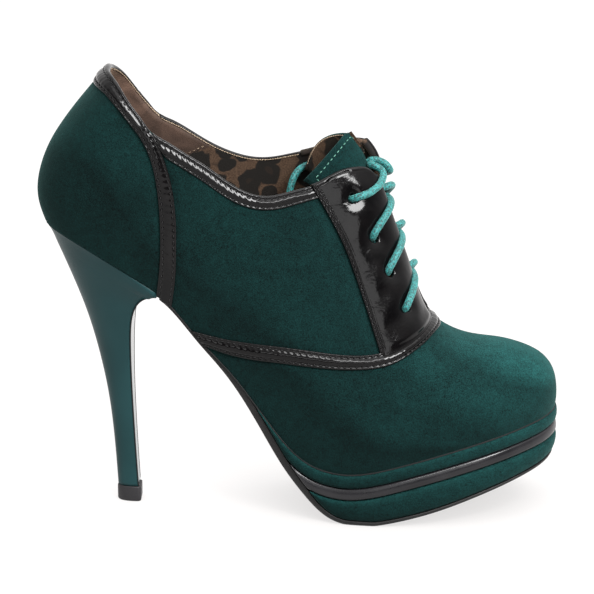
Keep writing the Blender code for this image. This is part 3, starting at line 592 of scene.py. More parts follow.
def thread(name, dark, light, gloss=0.5):
    """Twisted sewing thread."""
    made, tree, shader, place = finish(name, Roughness=gloss, Specular_IOR_Level=0.4)
    twist = spread(tree, speckle(tree, place, 2600.0, 1.0), 0.35, 0.65)
    coloured(tree, shader, twist, dark, light)
    raised(tree, shader, twist, 0.4, 0.1)
    return made


def joined(form, part):
    """Adds a part to a form."""
    whole = bpy.data.meshes.new("part")
    part.to_mesh(whole)
    form.from_mesh(whole)
    part.free()
    bpy.data.meshes.remove(whole)


def sewn(row, turn, height, way=1):
    """A line to sew on the last: its points, and the way out of the surface, or with -1 the way in."""
    return on_last(row, turn, height), way * last_normal(row, turn)


def stitches(name, lines, finish_of_thread, length=1.9, width=0.6, pitch=2.7):
    """Short raised stitches, end to end, along sewn lines."""
    form = bmesh.new()
    size = Matrix.Diagonal((length / 2 * MM, width / 2 * MM, width / 2 * MM, 1.0))
    for points, outward in lines:
        run = way_along(points)
        row = bmesh.new()
        for stop in np.arange(pitch / 2, run[-1] - pitch / 4, pitch):
            middle, up, ahead = (np.array([np.interp(at, run, values[:, c]) for c in range(3)])
                                 for at, values in ((stop, points), (stop, outward), (stop + 0.4, points)))
            ahead = Vector(ahead - middle).normalized()
            across = Vector(up).cross(ahead).normalized()
            turn = Matrix((ahead, across, ahead.cross(across))).transposed().to_4x4()
            bmesh.ops.create_uvsphere(row, u_segments=6, v_segments=5, radius=1.0,
                                      matrix=Matrix.Translation(Vector(middle) * MM) @ turn @ size)
        joined(form, row)
    return made_piece(form, name, [finish_of_thread])


def grip_front(z):
    """How far forward the heel grip reaches at a height."""
    rise = (np.maximum(z, GRIP_LOW_Z) - GRIP_LOW_Z) / (GRIP_HIGH_Z - GRIP_LOW_Z)
    return GRIP_LOW_X + (GRIP_HIGH_X - GRIP_LOW_X) * rise


form, row, turn, doomed = upper_skin(columns=44, opening=3.4)
flat = last_point(row, turn)
dressed(form, on_last(row, turn, -SUEDE_SKIN - 0.1 + 0.05 * ripple(flat, size=14.0, seed=4)), doomed)
for face in form.faces:
    middle = face.calc_center_median() / MM
    face.material_index = int(middle.x < grip_front(middle.z) and middle.z > GRIP_BOTTOM)
lining = made_piece(form, "lining", [cloth, grip], closed=False)
walled(lining, LINING_SKIN)

gold_thread = thread("gold_thread", (0.17, 0.115, 0.07), (0.42, 0.33, 0.24))
grip_lines = []
for side in (-1, 1):
    z = np.linspace(GRIP_LOW_Z, GRIP_HIGH_Z, 60)
    x = grip_front(z) - GRIP_STITCH
    under_rim = z < collar_z[side](x) - 1.6
    grip_lines.append(sewn(*locate(x[under_rim], z[under_rim], side).T, -WALL - 0.12, -1))
stitches("grip_stitches", grip_lines, gold_thread, length=1.5, width=0.4, pitch=2.2)

# Tongue: a green suede strip backed with the lining's cloth, sewn under the vamp and standing loose
# to above the collar, with light green stitching a little inside its edge.
TONGUE = 1.4
TONGUE_DEPTH = 6.3
TONGUE_ROW = 11.62
TONGUE_CROWN = 0.13
TONGUE_LIFT = 0.40
TONGUE_FOOT = 5.7
TONGUE_SPREAD = (24.0, 47.0)
TONGUE_SEAM, TONGUE_SEAM_FOOT, TONGUE_SEAM_TOP = 0.93, 0.3, 0.965
TONGUE_ROWS, TONGUE_COLUMNS = 90, 28


def tongue_place(along, across):
    """Rows and turns of the tongue for shares of its length and, from -1 to 1, of its width."""
    spread_turn = np.radians(TONGUE_SPREAD[0] + (TONGUE_SPREAD[1] - TONGUE_SPREAD[0]) * along)
    lift = TONGUE_CROWN * (1 - across ** 2) + TONGUE_LIFT * np.sin(math.pi * np.maximum(across, 0) ** 1.9)
    row = TONGUE_FOOT + (TONGUE_ROW + lift - TONGUE_FOOT) * along
    return row, spread_turn * across


def gold_edge(name, row, turn, height):
    """Gold thread sewn close along an edge that is seen from inside the shoe."""
    stitches(name, [sewn(row, turn, height, -1)], gold_thread, length=1.5, width=0.55, pitch=1.2)


form, i, j = sheet(TONGUE_ROWS, 2 * TONGUE_COLUMNS)
across = j / TONGUE_COLUMNS - 1
row, turn = tongue_place(i / TONGUE_ROWS, across)
flat = last_point(row, turn)
rolled = 0.5 * np.clip((np.abs(across) - 0.9) / 0.1, 0, 1) ** 2
lay(form, on_last(row, turn, -TONGUE_DEPTH - rolled + 0.25 * ripple(flat, size=12.0, seed=6)))
bmesh.ops.reverse_faces(form, faces=form.faces)
tongue = made_piece(form, "tongue_suede", [suede, cloth], "tongue", closed=False)
walled(tongue, TONGUE, inside=1)

mint_thread = thread("mint_thread", (0.03, 0.12, 0.085), (0.10, 0.26, 0.20))
seams = [tongue_place(np.linspace(TONGUE_SEAM_FOOT, TONGUE_SEAM_TOP, 120), across)
         for across in (-TONGUE_SEAM, TONGUE_SEAM)]
seams.append(tongue_place(TONGUE_SEAM_TOP, np.linspace(-TONGUE_SEAM, TONGUE_SEAM, 60)))
stitches("tongue_stitches", [sewn(*seam, -TONGUE_DEPTH + 0.05) for seam in seams], mint_thread,
         length=1.7, width=0.5, pitch=2.5)
gold_edge("tongue_gold", *tongue_place(0.995, np.linspace(-0.97, 0.97, 60)), -TONGUE_DEPTH - TONGUE)

# Lace facings: glossy black patent, folded over the throat's and the collar's edges, with four punched
# holes each. Their lower ends run under the vamp strip and their rear edges under a raised strip.
SIDES = {"lateral": -1, "medial": 1}
FACING_SKIN = 0.7
FOLD_TOP, FOLD_UNDER = 1.0, -2.05
FOLD_START, FOLD_TUCK = 0.6, 0.1
FOLD_RADIUS, FOLD_MIDDLE = (FOLD_TOP - FOLD_UNDER) / 2, (FOLD_TOP + FOLD_UNDER) / 2
FOLD_WAY = math.pi * FOLD_RADIUS + FOLD_TUCK
FOLD_STEPS, FACING_COLUMNS, FACING_ROWS = 12, 34, 92
FACING_FOOT_ROWS, FACING_TOP_ROWS = (5.5, 9.5), (9.0, 12.5)
FACING_TUCK = 0.1
TOP_SLANT = 0.9
STRIP_OVERLAP = 0.045
EYELET, PUNCH = 4.6, 9.0
DIMPLE, DIMPLE_REACH = 1.0, 4.0
SWELL, SINKING = 0.55, 0.5
VAMP_CREST_Z = (89.0, 83.9)
VAMP_MARKS = 181
ROW_STEP, TURN_STEP = 0.1, 0.02


def shined(tree, shader, share, smooth, rough):
    """Sets a shader's roughness from noise."""
    tree.links.new(spread(tree, share, 0.3, 0.7, smooth, rough), shader.inputs["Roughness"])


patent, tree, shader, place = finish("black_patent", Specular_IOR_Level=0.22)
crinkle = speckle(tree, place, 210.0, 2.0, 0.8)
pore = speckle(tree, place, 1500.0)
worn = spread(tree, speckle(tree, place, 120.0), 0.35, 0.7)
coloured(tree, shader, worn, (0.0012, 0.0011, 0.0013), (0.0028, 0.0024, 0.0026))
shined(tree, shader, pore, 0.08, 0.15)
raised(tree, shader, weighed(tree, (crinkle, 1.0), (pore, 0.08)), 0.2, 0.5)


def folded(beyond):
    """Place and height on a fold, for the way along it from FOLD_START outwards and back underneath."""
    angle = np.clip(beyond / FOLD_RADIUS, 0, math.pi)
    tuck = np.maximum(beyond - math.pi * FOLD_RADIUS, 0)
    inward = np.where(beyond <= 0, FOLD_START - beyond, FOLD_START - FOLD_RADIUS * np.sin(angle) + tuck)
    return inward, np.where(beyond <= 0, FOLD_TOP, FOLD_MIDDLE + FOLD_RADIUS * np.cos(angle))


def facing_turn(edges, row):
    """The turn of one of the facing's pattern lines at a row, without its sign."""
    marks = resample(marked(edges, 1), 60)
    order = np.argsort(marks[:, 0])
    return np.interp(row, marks[order, 0], marks[order, 1])


def crest_row(z):
    return float(meet(lambda row: z - section_at(row)[..., 1], 4.0, 11.0))


vamp_lines = []
for edges, crest_z in zip((VAMP_UPPER, VAMP_LOWER), VAMP_CREST_Z):
    marks = np.vstack((marked(edges, -1), (crest_row(crest_z), 0.0)))
    vamp_lines.append(resample(np.vstack((marks, marks[-2::-1] * (1, -1))), VAMP_MARKS))


def facing_span(turn_of, side, shape):
    """The lowest row, under the vamp strip, and the highest, at the collar, of a facing's columns."""
    half = vamp_lines[0][:VAMP_MARKS // 2 + 1]
    edge_row, edge_turn = (half[np.argsort(-half[:, 1])] * (1, -1)).T

    def under_strip(row):
        return np.interp(turn_of(row), edge_turn, edge_row) - row

    def below_collar(row):
        p = last_point(row, side * turn_of(row))
        return collar_z[side](p[..., 0]) - p[..., 2]
    return [meet(test, *(np.full(shape, row) for row in rows))
            for test, rows in ((under_strip, FACING_FOOT_ROWS), (below_collar, FACING_TOP_ROWS))]


def pace(first, second, step):
    """Millimetres to the row or turn between two sets of points a step apart."""
    return np.linalg.norm(first - second, axis=1) / step


for label, side in SIDES.items():
    form, i, j = sheet(FACING_ROWS + FOLD_STEPS, FACING_COLUMNS + FOLD_STEPS)
    share = np.clip((j - FOLD_STEPS) / FACING_COLUMNS, 0, 1)

    def column_turn(row, share=share):
        rear = facing_turn(FACING_FRONT, row) + STRIP_OVERLAP
        return (1 - share) * throat_turn(row, side) + share * rear
    low, high = facing_span(column_turn, side, share.shape)
    row_pace = pace(last_point(high, side * share), last_point(high - ROW_STEP, side * share), ROW_STEP)
    top_in, top_height = folded(FOLD_WAY * np.clip(i - FACING_ROWS, 0, None) / FOLD_STEPS)
    start = low - FACING_TUCK
    span = high - FOLD_START / row_pace - start
    row = np.where(i <= FACING_ROWS, start + span * i / FACING_ROWS,
                   high - (top_in + TOP_SLANT * share) / row_pace)
    turn = column_turn(row)
    turn_pace = pace(last_point(row, side * (turn + TURN_STEP)), last_point(row, side * turn), TURN_STEP)
    edge_in, edge_height = folded(FOLD_WAY * np.clip(FOLD_STEPS - j, 0, None) / FOLD_STEPS)
    turn = turn + np.where(j < FOLD_STEPS, edge_in, FOLD_START * (1 - share)) / turn_pace
    flat = last_point(row, side * turn)
    away = np.linalg.norm(flat[:, None] - last_point(*HOLES[side].T)[None], axis=2).min(1)
    on_face = (i <= FACING_ROWS) & (j >= FOLD_STEPS)
    bow = np.sin(math.pi * share)
    swell = SWELL * bow ** 0.7 * np.sin(math.pi * np.clip(i / FACING_ROWS, 0, 1)) ** 0.5
    soft = 0.42 * ripple(flat, size=9.0, seed=8 + side) + 0.7 * ripple(flat, size=24.0, seed=11 + side)
    dimple = DIMPLE * np.exp(-(away / DIMPLE_REACH) ** 2)
    sinking = SINKING * np.clip((share - 0.55) / 0.4, 0, 1) ** 1.5
    folds = np.minimum(edge_height, top_height)
    height = folds + swell + (soft * bow ** 0.5 - dimple) * on_face - sinking * (i <= FACING_ROWS)
    sunk = np.clip(1 - (row - low) / 0.12, 0, 1)
    lay(form, on_last(row, side * turn, height * (1 - sunk) + 0.3 * sunk))
    turned = folds < FOLD_MIDDLE
    form.verts.index_update()
    for face in form.faces:
        face.material_index = int(turned[[v.index for v in face.verts]].all())
    if side < 0:
        bmesh.ops.reverse_faces(form, faces=form.faces)
    facing = made_piece(form, "facing_" + label, [patent, cloth], "eyestay_" + label,
                        closed=False)
    walled(facing, FACING_SKIN)

    # The punch takes its four discs out of the folded facing
    punches = bmesh.new()
    for hole in HOLES[side]:
        turned = Vector(last_normal(*hole)).to_track_quat("Z", "Y").to_matrix().to_4x4()
        bmesh.ops.create_cone(punches, cap_ends=True, segments=28, radius1=EYELET / 2 * MM,
                              radius2=EYELET / 2 * MM, depth=PUNCH * MM,
                              matrix=Matrix.Translation(Vector(last_point(*hole)) * MM) @ turned)
    punch_mesh = bpy.data.meshes.new("punches")
    punches.to_mesh(punch_mesh)
    punches.free()
    punch = bpy.data.objects.new("punches", punch_mesh)
    scene.collection.objects.link(punch)
    cut = facing.modifiers.new("holes", "BOOLEAN")
    cut.operation, cut.solver, cut.object = "DIFFERENCE", "EXACT", punch
    whole = bpy.data.meshes.new_from_object(facing.evaluated_get(bpy.context.evaluated_depsgraph_get()))
    facing.modifiers.clear()
    facing.data = whole
    bpy.data.objects.remove(punch)

# Raised strips on the facings' rear edges: narrow folded patent with a stitch row along each side,
# covering the facings' raw edges from the collar down to the vamp strip.
STITCH_PITCH = 2.7
STRIP_STEP = 0.55
STRIP_FOOT = 0.3
END_DIVE = 3.0
NARROW = np.array((
    (0.10, 0.10), (0.02, 0.10), (-0.03, 0.30), (-0.03, 0.80), (0.02, 1.25), (0.10, 1.45), (0.18, 1.35),
    (0.25, 1.05), (0.34, 1.40), (0.43, 1.62), (0.50, 1.66), (0.57, 1.62), (0.66, 1.40), (0.75, 1.05),
    (0.82, 1.30), (0.90, 1.32), (0.98, 1.10), (1.03, 0.70), (1.03, 0.30), (0.98, 0.10), (0.90, 0.10)))
NARROW_GROOVES = (0.25, 0.75)

black_thread = thread("black_thread", (0.0012, 0.0012, 0.0014), (0.006, 0.0055, 0.006), 0.8)


def ribbon(first, second, samples=500):
    """A strip's two edges, as rows and turns over the share of its length, and that length."""
    edges = [drawn_curve(np.linspace(0, 1, len(marks)), marks) for marks in (first, second)]
    steps = np.linspace(0, 1, samples)
    middle = (edges[0](steps) + edges[1](steps)) / 2
    run = way_along(last_point(*middle.T))

    def at(share):
        place = np.interp(np.asarray(share) * run[-1], run, steps)
        return edges[0](place), edges[1](place)
    return at, run[-1]


def between(first, second, share):
    """Rows and turns at shares of the way over the last from one line to another."""
    steps = np.linspace(-0.1, 1.1, 25)
    path = first[:, None] + (second - first)[:, None] * steps[:, None]
    gaps = np.linalg.norm(np.diff(last_point(path[..., 0], path[..., 1]), axis=1), axis=2)
    run = np.concatenate((np.zeros((len(first), 1)), np.cumsum(gaps, axis=1)), axis=1)
    ends = np.array([np.interp((0.0, 1.0), steps, way) for way in run])
    place = [np.interp(low + (high - low) * at, way, steps)
             for (low, high), way, at in zip(ends, run, share)]
    return first + (second - first) * np.array(place)[:, None]


def strip(name, edges, length, profile, grooves, seed, stands_for, shape=None, tuck=(0.0, 0.0), pucker=1.0):
    """A domed strip with its two stitch rows: a closed profile run along its pattern lines."""
    def left(share):
        """How much of its height is left where an end dives under its neighbour."""
        return 1 - sum(np.clip(1 - way * length / END_DIVE, 0, 1) * low
                       for way, low in zip((share, 1 - share), tuck))
    along, around = int(length / STRIP_STEP), len(profile)
    form, i, j = sheet(along, around)
    share = i / along
    section = profile[j % around] if shape is None else shape(share)[np.arange(len(i)), j % around]
    row, turn = between(*edges(share), section[:, 0]).T
    height = section[:, 1]
    flat = last_point(row, turn)
    crown = np.clip(height / profile[:, 1].max(), 0, 1) ** 2
    beat = 0.5 - 0.5 * np.cos(2 * math.pi * share * length / STITCH_PITCH)
    groove = sum(np.exp(-((section[:, 0] - at) / 0.08) ** 2) for at in grooves)
    crease = 0.16 * ripple(flat, size=3.2, seed=seed) + 0.12 * ripple(flat, size=8.0, seed=seed + 3)
    height = height + pucker * crown * crease
    height = height - np.where(height > STRIP_FOOT, (0.24 * groove + 0.07 * pucker * crown) * beat, 0)
    lay(form, on_last(row, turn, np.where(height > 0, height * left(share), height)))
    made_piece(form, name, [patent], stands_for)
    face = profile[profile[:, 1] > STRIP_FOOT]
    face = face[np.argsort(face[:, 0])]
    share = np.linspace(0.004, 0.996, 400)
    lines = []
    for at in grooves:
        place = between(*edges(share), np.full(share.shape, at)).T
        lines.append(sewn(*place, np.interp(at, *face.T) * left(share) + 0.12))
    stitches(name + "_stitches", lines, black_thread, pitch=STITCH_PITCH)


for label, side in SIDES.items():
    lines = []
    for edges in (FACING_FRONT, FACING_REAR):
        def line_turn(row, edges=edges):
            return facing_turn(edges, row)
        low, high = facing_span(line_turn, side, ())
        rows = np.linspace(float(low) - 0.03, float(high) - 0.01, 40)
        lines.append(np.stack((rows, side * line_turn(rows)), -1))
    strip("facing_strip_" + label, *ribbon(*lines), NARROW, NARROW_GROOVES, 20 + side,
          "facing_strip_" + label, tuck=(0.5, 0.0), pucker=0.3)

# Facing edges: black stitches along the upper edges, a little under the fold, hold it down, and gold
# thread is sewn inside, where the fold ends on the lining.
EDGE_DROP, GOLD_DROP = 0.11, 0.075
for label, side in SIDES.items():
    share = np.linspace(0.12, 0.93, 80)

    def edge_turn(row, share=share):
        return (1 - share) * throat_turn(row, side) + share * facing_turn(FACING_FRONT, row)
    high = facing_span(edge_turn, side, share.shape)[1]
    row = high - EDGE_DROP
    stitches("facing_edge_stitches_" + label, [sewn(row, side * edge_turn(row), FOLD_TOP + 0.4)],
             black_thread)
    row = high - GOLD_DROP
    gold_edge("facing_gold_" + label, row, side * edge_turn(row), FOLD_UNDER - 0.05)

# Vamp strip: a domed patent binding over the seam of vamp and quarters, from one side of the waist
# over the throat's base to the other, sewn along both edges.
DOMED = np.array((
    (0.10, 0.05), (0.04, 0.05), (0.00, 0.12), (-0.015, 0.32), (0.00, 0.58), (0.05, 0.78), (0.11, 0.76),
    (0.17, 0.50), (0.24, 0.72), (0.33, 0.98), (0.42, 1.22), (0.51, 1.36), (0.60, 1.36), (0.70, 1.14),
    (0.78, 0.76), (0.83, 0.52), (0.89, 0.76), (0.95, 0.78), (1.00, 0.58), (1.015, 0.32), (1.00, 0.12),
    (0.90, 0.05)))
DOMED_GROOVES = (0.17, 0.83)
strip("vamp_binding", *ribbon(*vamp_lines), DOMED, DOMED_GROOVES, 31, "vamp_strip")

# Collar bindings: the same domed strip folded over the collar's edge to the inside, from the
# counter's strip to the facing on each side, with gold stitching where it ends on the lining.
COLLAR_STRIP = 5.9
COLLAR_START = (-64.2, -55.6)
GOLD_IN = 0.09
BOUND = np.array((
    (0.05, -1.85), (0.07, -1.98), (0.06, -2.12), (0.02, -2.15), (-0.02, -2.00), (-0.05, -1.50),
    (-0.07, -0.80), (-0.06, 0.00), (-0.02, 0.55), (0.05, 0.80), (0.12, 0.76), (0.18, 0.50), (0.26, 0.74),
    (0.36, 1.02), (0.47, 1.30), (0.60, 1.36), (0.76, 0.84), (0.83, 0.52), (0.89, 0.76), (0.95, 0.78),
    (1.01, 0.50), (1.00, 0.06)))
BOUND_GROOVES = (0.18, 0.83)


def facing_rear_x(z):
    return np.interp(z, [edge.z for edge in FACING_REAR[::-1]], [edge.x for edge in FACING_REAR[::-1]])


def gold_inside(name, edges, low, high, count):
    """Gold thread along the inner edge of a binding, over a span of its length."""
    place = between(*edges(np.linspace(low, high, count)), np.full(count, GOLD_IN))
    gold_edge(name, *place.T, -WALL - 0.05)


for label, side in SIDES.items():
    end_x = float(meet(lambda x: facing_rear_x(collar_z[side](x)) - x, -20.0, 20.0)) - 0.3
    x = np.linspace(COLLAR_START[0], end_x, 24)
    top = resample(marked(np.column_stack((x, collar_z[side](x) - 0.1)), side), 60)
    x = np.linspace(COLLAR_START[1], end_x + 1.6, 8)
    slope = collar_z[side](x + 0.5) - collar_z[side](x - 0.5)
    drop = COLLAR_STRIP / np.hypot(1.0, slope)
    low = resample(marked(np.column_stack((x + drop * slope, collar_z[side](x) - drop)), side), 60)
    edges, length = ribbon(top, low)
    strip("collar_binding_" + label, edges, length, BOUND, BOUND_GROOVES, 40 + side,
          "collar_binding_" + label, tuck=(0.3, 0.35))
    gold_inside("collar_gold_" + label, edges, 0, 1, 160)

# Counter binding: the domed strip up one side of the counter, folded over the collar's edge round
# its back, and down the other side, in one length that covers the back seam's top.
REAR_TOP = ((17.27, 135.0), (17.48, 150.0), (17.61, 165.0))
CROWN = ((18.02, math.pi), (17.66, math.pi))
RIM_X = (-66.5, -85.2)
RIM_LIFT = 0.2
RIM_FRONT = -64.6
RIM_EASE = 0.06
arms = {}
for side in (-1, 1):
    x = np.linspace(*RIM_X, 9)
    rim = np.column_stack((x, collar_z[side](x) + RIM_LIFT))
    top_rear = np.array([(row, side * math.radians(turn)) for row, turn in REAR_TOP])
    arms[side] = (marked(np.vstack((COUNTER_FRONT[::-1], rim)), side),
                  np.vstack((marked(COUNTER_REAR, side)[::-1], top_rear)))
lines = []
for k in (0, 1):
    whole = np.vstack((arms[-1][k] + (0.0, 2 * math.pi), [CROWN[k]], arms[1][k][::-1]))
    lines.append(resample(whole, 80, len(arms[-1][k])))
edges, length = ribbon(*lines)
shares = np.linspace(0, 1, 400)
at_rim = shares[last_point(*edges(shares)[0].T)[:, 0] < RIM_FRONT]


def counter_shape(share):
    """Flat on the counter's sides and folded over the edge at the collar."""
    over = np.clip(np.minimum(share - at_rim[0], at_rim[-1] - share) / RIM_EASE + 0.4, 0, 1)
    over = over * over * (3 - 2 * over)
    return DOMED + (BOUND - DOMED) * over[:, None, None]


strip("counter_binding_patent", edges, length, DOMED, DOMED_GROOVES, 51, "counter_binding", counter_shape)
gold_inside("counter_gold", edges, at_rim[0] - 0.008, at_rim[-1] + 0.008, 200)

# Lace: one round waxed turquoise cord, crossed through the eight holes from the bottom up. Each length
# comes out of one hole, over the throat and under the other facing. One end stops behind the tongue's
# top and the other comes out beside it and hangs inside the quarter.
LACE = 3.3
LACE_STEP = 0.8
LACE_SIDES = 14
LACE_HIDDEN = -4.4
LACE_IN_HOLE = -1.2
ROUTE_EASE = 0.6
END_ROUNDING = 1.4
PLAIT_PITCH, PLAITS_ROUND = 0.95, 6.0

cord, tree, shader, place = finish("turquoise_cord", Roughness=0.5, Specular_IOR_Level=0.45,
                                   Sheen_Weight=0.2, Sheen_Tint=(0.5, 1.0, 0.9, 1.0))
lay_of_cord = node(tree, "ShaderNodeUVMap", uv_map="cord").outputs["UV"]
waves = []
for lean in (1.0, -1.0):
    turned = vectors(tree, "DOT_PRODUCT", lay_of_cord, (PLAIT_PITCH, PLAITS_ROUND * lean, 0.0), "Value")
    waves.append(sums(tree, "SINE", sums(tree, "MULTIPLY", turned, 2 * math.pi), 0.0))
plait = spread(tree, sums(tree, "MULTIPLY", *waves), -0.9, 0.9)
fibre = speckle(tree, place, 1250.0, 3.0)
share = weighed(tree, (spread(tree, fibre, 0.39, 0.61), 0.75), (plait, 0.25))
coloured(tree, shader, share, (0.0005, 0.0085, 0.0090), (0.022, 0.236, 0.230))
raised(tree, shader, weighed(tree, (plait, 1.0), (fibre, 0.5)), 0.6, 0.25)


def crossing(start, end, stops):
    """A length from one hole over the throat and under the other facing to the hole there."""
    side = np.sign(start[1])
    over = [(start[0] + up, side * math.radians(turn), height) for up, turn, height in stops]
    return [(*start, LACE_HIDDEN), (*start, LACE_IN_HOLE), *over,
            (start[0] + 0.5 * (end[0] - start[0]), 0.7 * end[1], LACE_HIDDEN),
            (*(end - (0.12, 0.03 * side)), LACE_HIDDEN)]


def free_route(*stops):
    """Stops given as a row, a turn in degrees and a height."""
    return [(row, math.radians(turn), height) for row, turn, height in stops]


LOW = ((0.08, 35.0, 2.4), (0.13, 31.0, 3.9), (0.13, 24.0, 3.6), (0.12, 16.0, 2.6), (0.13, 5.0, 0.6),
       (0.2, -4.0, -2.0), (0.3, -14.0, LACE_HIDDEN))
HIGH = ((0.08, 34.0, 2.4), (0.2, 28.0, 3.9), (0.28, 20.0, 3.7), (0.32, 10.0, 3.0), (0.36, 1.0, 2.2),
        (0.40, -7.0, -0.2), (0.46, -15.0, LACE_HIDDEN))
near, far = HOLES[-1], HOLES[1]
bar = free_route((6.55, 0.0, LACE_HIDDEN - 0.3))
to_quarter = free_route(
    (10.36, 34.0, 2.6), (10.22, 28.0, 3.9), (10.1, 20.0, 3.8), (10.05, 12.0, 3.4), (10.08, 5.5, 3.0),
    (10.2, 4.0, 2.2), (10.32, 6.0, 0.6), (10.44, 9.0, -2.0), (10.55, 15.0, LACE_HIDDEN),
    (10.6, 25.0, LACE_HIDDEN), (10.85, 33.0, LACE_HIDDEN), (11.2, 39.0, LACE_HIDDEN),
    (11.5, 44.0, LACE_HIDDEN))
to_tongue = free_route(
    (10.24, -35.0, 3.0), (10.16, -32.0, 3.9), (10.08, -28.0, 3.9), (10.03, -23.5, 3.6), (10.0, -18.5, 3.0),
    (10.04, -11.0, 2.2), (10.15, -7.0, 1.0), (10.30, -7.0, -1.2), (10.36, -6.0, -3.4),
    (10.35, -1.0, LACE_HIDDEN), (10.32, 8.0, LACE_HIDDEN))
IN_QUARTER = ((2.0, 15.9, 153.6), (-1.6, 15.0, 151.0), (-3.8, 13.6, 147.0), (-5.2, 12.4, 141.0),
              (-6.2, 11.4, 134.5))
routes = []
for first, second, rises, ending in ((near, far, (LOW, HIGH, LOW), to_quarter),
                                     (far, near, (HIGH, LOW, HIGH), to_tongue)):
    holes = first[3], second[2], first[1], second[0]
    stops = list(bar)
    for start, end, rise in zip(holes, holes[1:], rises):
        stops += crossing(start, end, rise)
    stops += [(*holes[-1], LACE_HIDDEN), (*holes[-1], LACE_IN_HOLE), *ending]
    routes.append(on_last(*np.array(stops).T))
routes[0] = np.vstack((routes[0], IN_QUARTER))


def cord_form(form, route, thickness, sides):
    """Adds a round cord along a smooth route, with rounded ends and a map of its length and turns."""
    gaps = np.linalg.norm(np.diff(route, axis=0), axis=1)
    reach = np.concatenate(([0.0], np.cumsum(gaps ** ROUTE_EASE)))
    fine = drawn_curve(reach, route)(np.linspace(0, reach[-1], 1500))
    run = way_along(fine)
    along = int(run[-1] / LACE_STEP)
    places = np.linspace(0, run[-1], along + 1)
    middle = np.stack([np.interp(places, run, fine[:, c]) for c in range(3)], -1)
    ahead = np.gradient(middle, axis=0)
    ahead /= np.linalg.norm(ahead, axis=1)[:, None]
    across = [np.cross(ahead[0], (0.3, 0.2, 1.0))]
    for way in ahead:
        side = across[-1] - way * (across[-1] @ way)
        across.append(side / np.linalg.norm(side))
    across = np.array(across[1:])
    upright = np.cross(ahead, across)
    length, i, j = sheet(along, sides)
    mapped = length.loops.layers.uv.new("cord")
    for face in length.faces:
        for loop in face.loops:
            loop[mapped].uv = i[loop.vert.index] * LACE_STEP, j[loop.vert.index] / sides
    angle = 2 * math.pi * j / sides
    ends = np.minimum(i, along - i) * LACE_STEP
    radius = thickness / 2 * np.sqrt(np.clip(1 - (1 - np.minimum(ends / END_ROUNDING, 1)) ** 2, 0.04, 1))
    ring = across[i] * np.cos(angle)[:, None] + upright[i] * np.sin(angle)[:, None]
    lay(length, middle[i] + ring * radius[:, None])
    joined(form, length)


form = bmesh.new()
for route in routes:
    cord_form(form, route, LACE, LACE_SIDES)
made_piece(form, "lace", [cord], "lace_crossings")

# Insole: a thin board covered with the bronze suede, cut to the feather line and laid inside the
# upper's lasted edge.
INSOLE = 1.6
INSOLE_INSET = -WALL - 1.4
CLEARANCE = 0.3
TOE_ROUNDING = 1.8
SOLE_STEPS = 170
FLAT_STEPS = 10
tread_line = drawn_curve([row.x for row in SOLE], [row.tread for row in SOLE])
outsole_thickness = drawn_curve([row.x for row in SOLE], [row.outsole for row in SOLE])
toe_end = float(meet(lambda row: bottom_turn(row) - math.pi + 1e-9, 0.2, 1.2))
heel_end = float(meet(lambda row: math.pi - 1e-9 - bottom_turn(row), 13.2, 14.7))
feather_rows = np.linspace(toe_end, heel_end, 241)
feather_turn = bottom_turn(feather_rows)
lateral, medial = (last_point(feather_rows, side * feather_turn)[:, :2] for side in (-1, 1))
outline = np.vstack((lateral, medial[-2:0:-1]))
step = np.roll(outline, -1, axis=0) - np.roll(outline, 1, axis=0)
outward = np.column_stack((step[:, 1], -step[:, 0])) / np.linalg.norm(step, axis=1)[:, None]
outward *= np.sign(outward[0, 0])


def plan(outset):
    """The feather line moved outwards: its two sides as x and y, from the toe to the heel."""
    moved = outline + outward * outset
    return moved[:len(lateral)], np.vstack((moved[:1], moved[:len(lateral) - 2:-1]))


def tread_z(x):
    return np.maximum(0.0, tread_line(x))


def steepness(line, x):
    return np.hypot(1.0, line(x + 0.5) - line(x - 0.5))


def outsole_top(x):
    top = tread_z(x) + outsole_thickness(x) * steepness(tread_line, x)
    return np.minimum(top, feather_z(x) - CLEARANCE)


def sole_layer(name, rear, floor_of, roof_of, wall, cover, stands_for, seed):
    """A layer of the sole. Its wall lists outsets of the feather line and shares of the height, upwards."""
    across = np.linspace(-1, 1, FLAT_STEPS + 1)[1:-1]
    ring = [(-1.0, *rung) for rung in wall] + [(at, *wall[-1]) for at in across]
    ring += [(1.0, *rung) for rung in reversed(wall)] + [(-at, *wall[0]) for at in across]
    form, i, j = sheet(SOLE_STEPS, len(ring))
    points = np.zeros((len(i), 3))
    for k, (mix, outset, share) in enumerate(ring):
        here = j % len(ring) == k
        left, right = plan(outset)
        x = rear + (left[0][0] - rear) * (1 - (1 - i[here] / SOLE_STEPS) ** TOE_ROUNDING)
        y_left, y_right = (np.interp(-x, -edge[:, 0], edge[:, 1]) for edge in (left, right))
        y = (y_left + y_right) / 2 + mix * (y_right - y_left) / 2
        points[here] = np.stack((x, y, floor_of(x) + (roof_of(x) - floor_of(x)) * share), -1)
    points[:, 1] += 0.06 * ripple(points, size=11.0, seed=seed) * np.sign(points[:, 1])
    lay(form, points)
    made_piece(form, name, [cover], stands_for)


# Painted shade: the bronze suede is painted darkest this low inside the shoe.
sole_layer("insole_cover", plan(INSOLE_INSET)[0][-1][0] + 3.4, lambda x: feather_z(x) + CLEARANCE,
           lambda x: feather_z(x) + CLEARANCE + INSOLE * steepness(feather_z, x),
           ((INSOLE_INSET, 0.0), (INSOLE_INSET, 0.6), (INSOLE_INSET - 0.3, 0.9), (INSOLE_INSET - 0.8, 1.0)),
           grip, "insole", 60)

# Platform: a wooden-cored sole in three tiers, the upper and lower covered in the upper's suede and
# the middle one a glossy black band, each drawn in a little where it meets the next.
RAND = 6.4
BAND = 5.6
TO_OUTSOLE = 99.0
THIN_REAR = 0.7


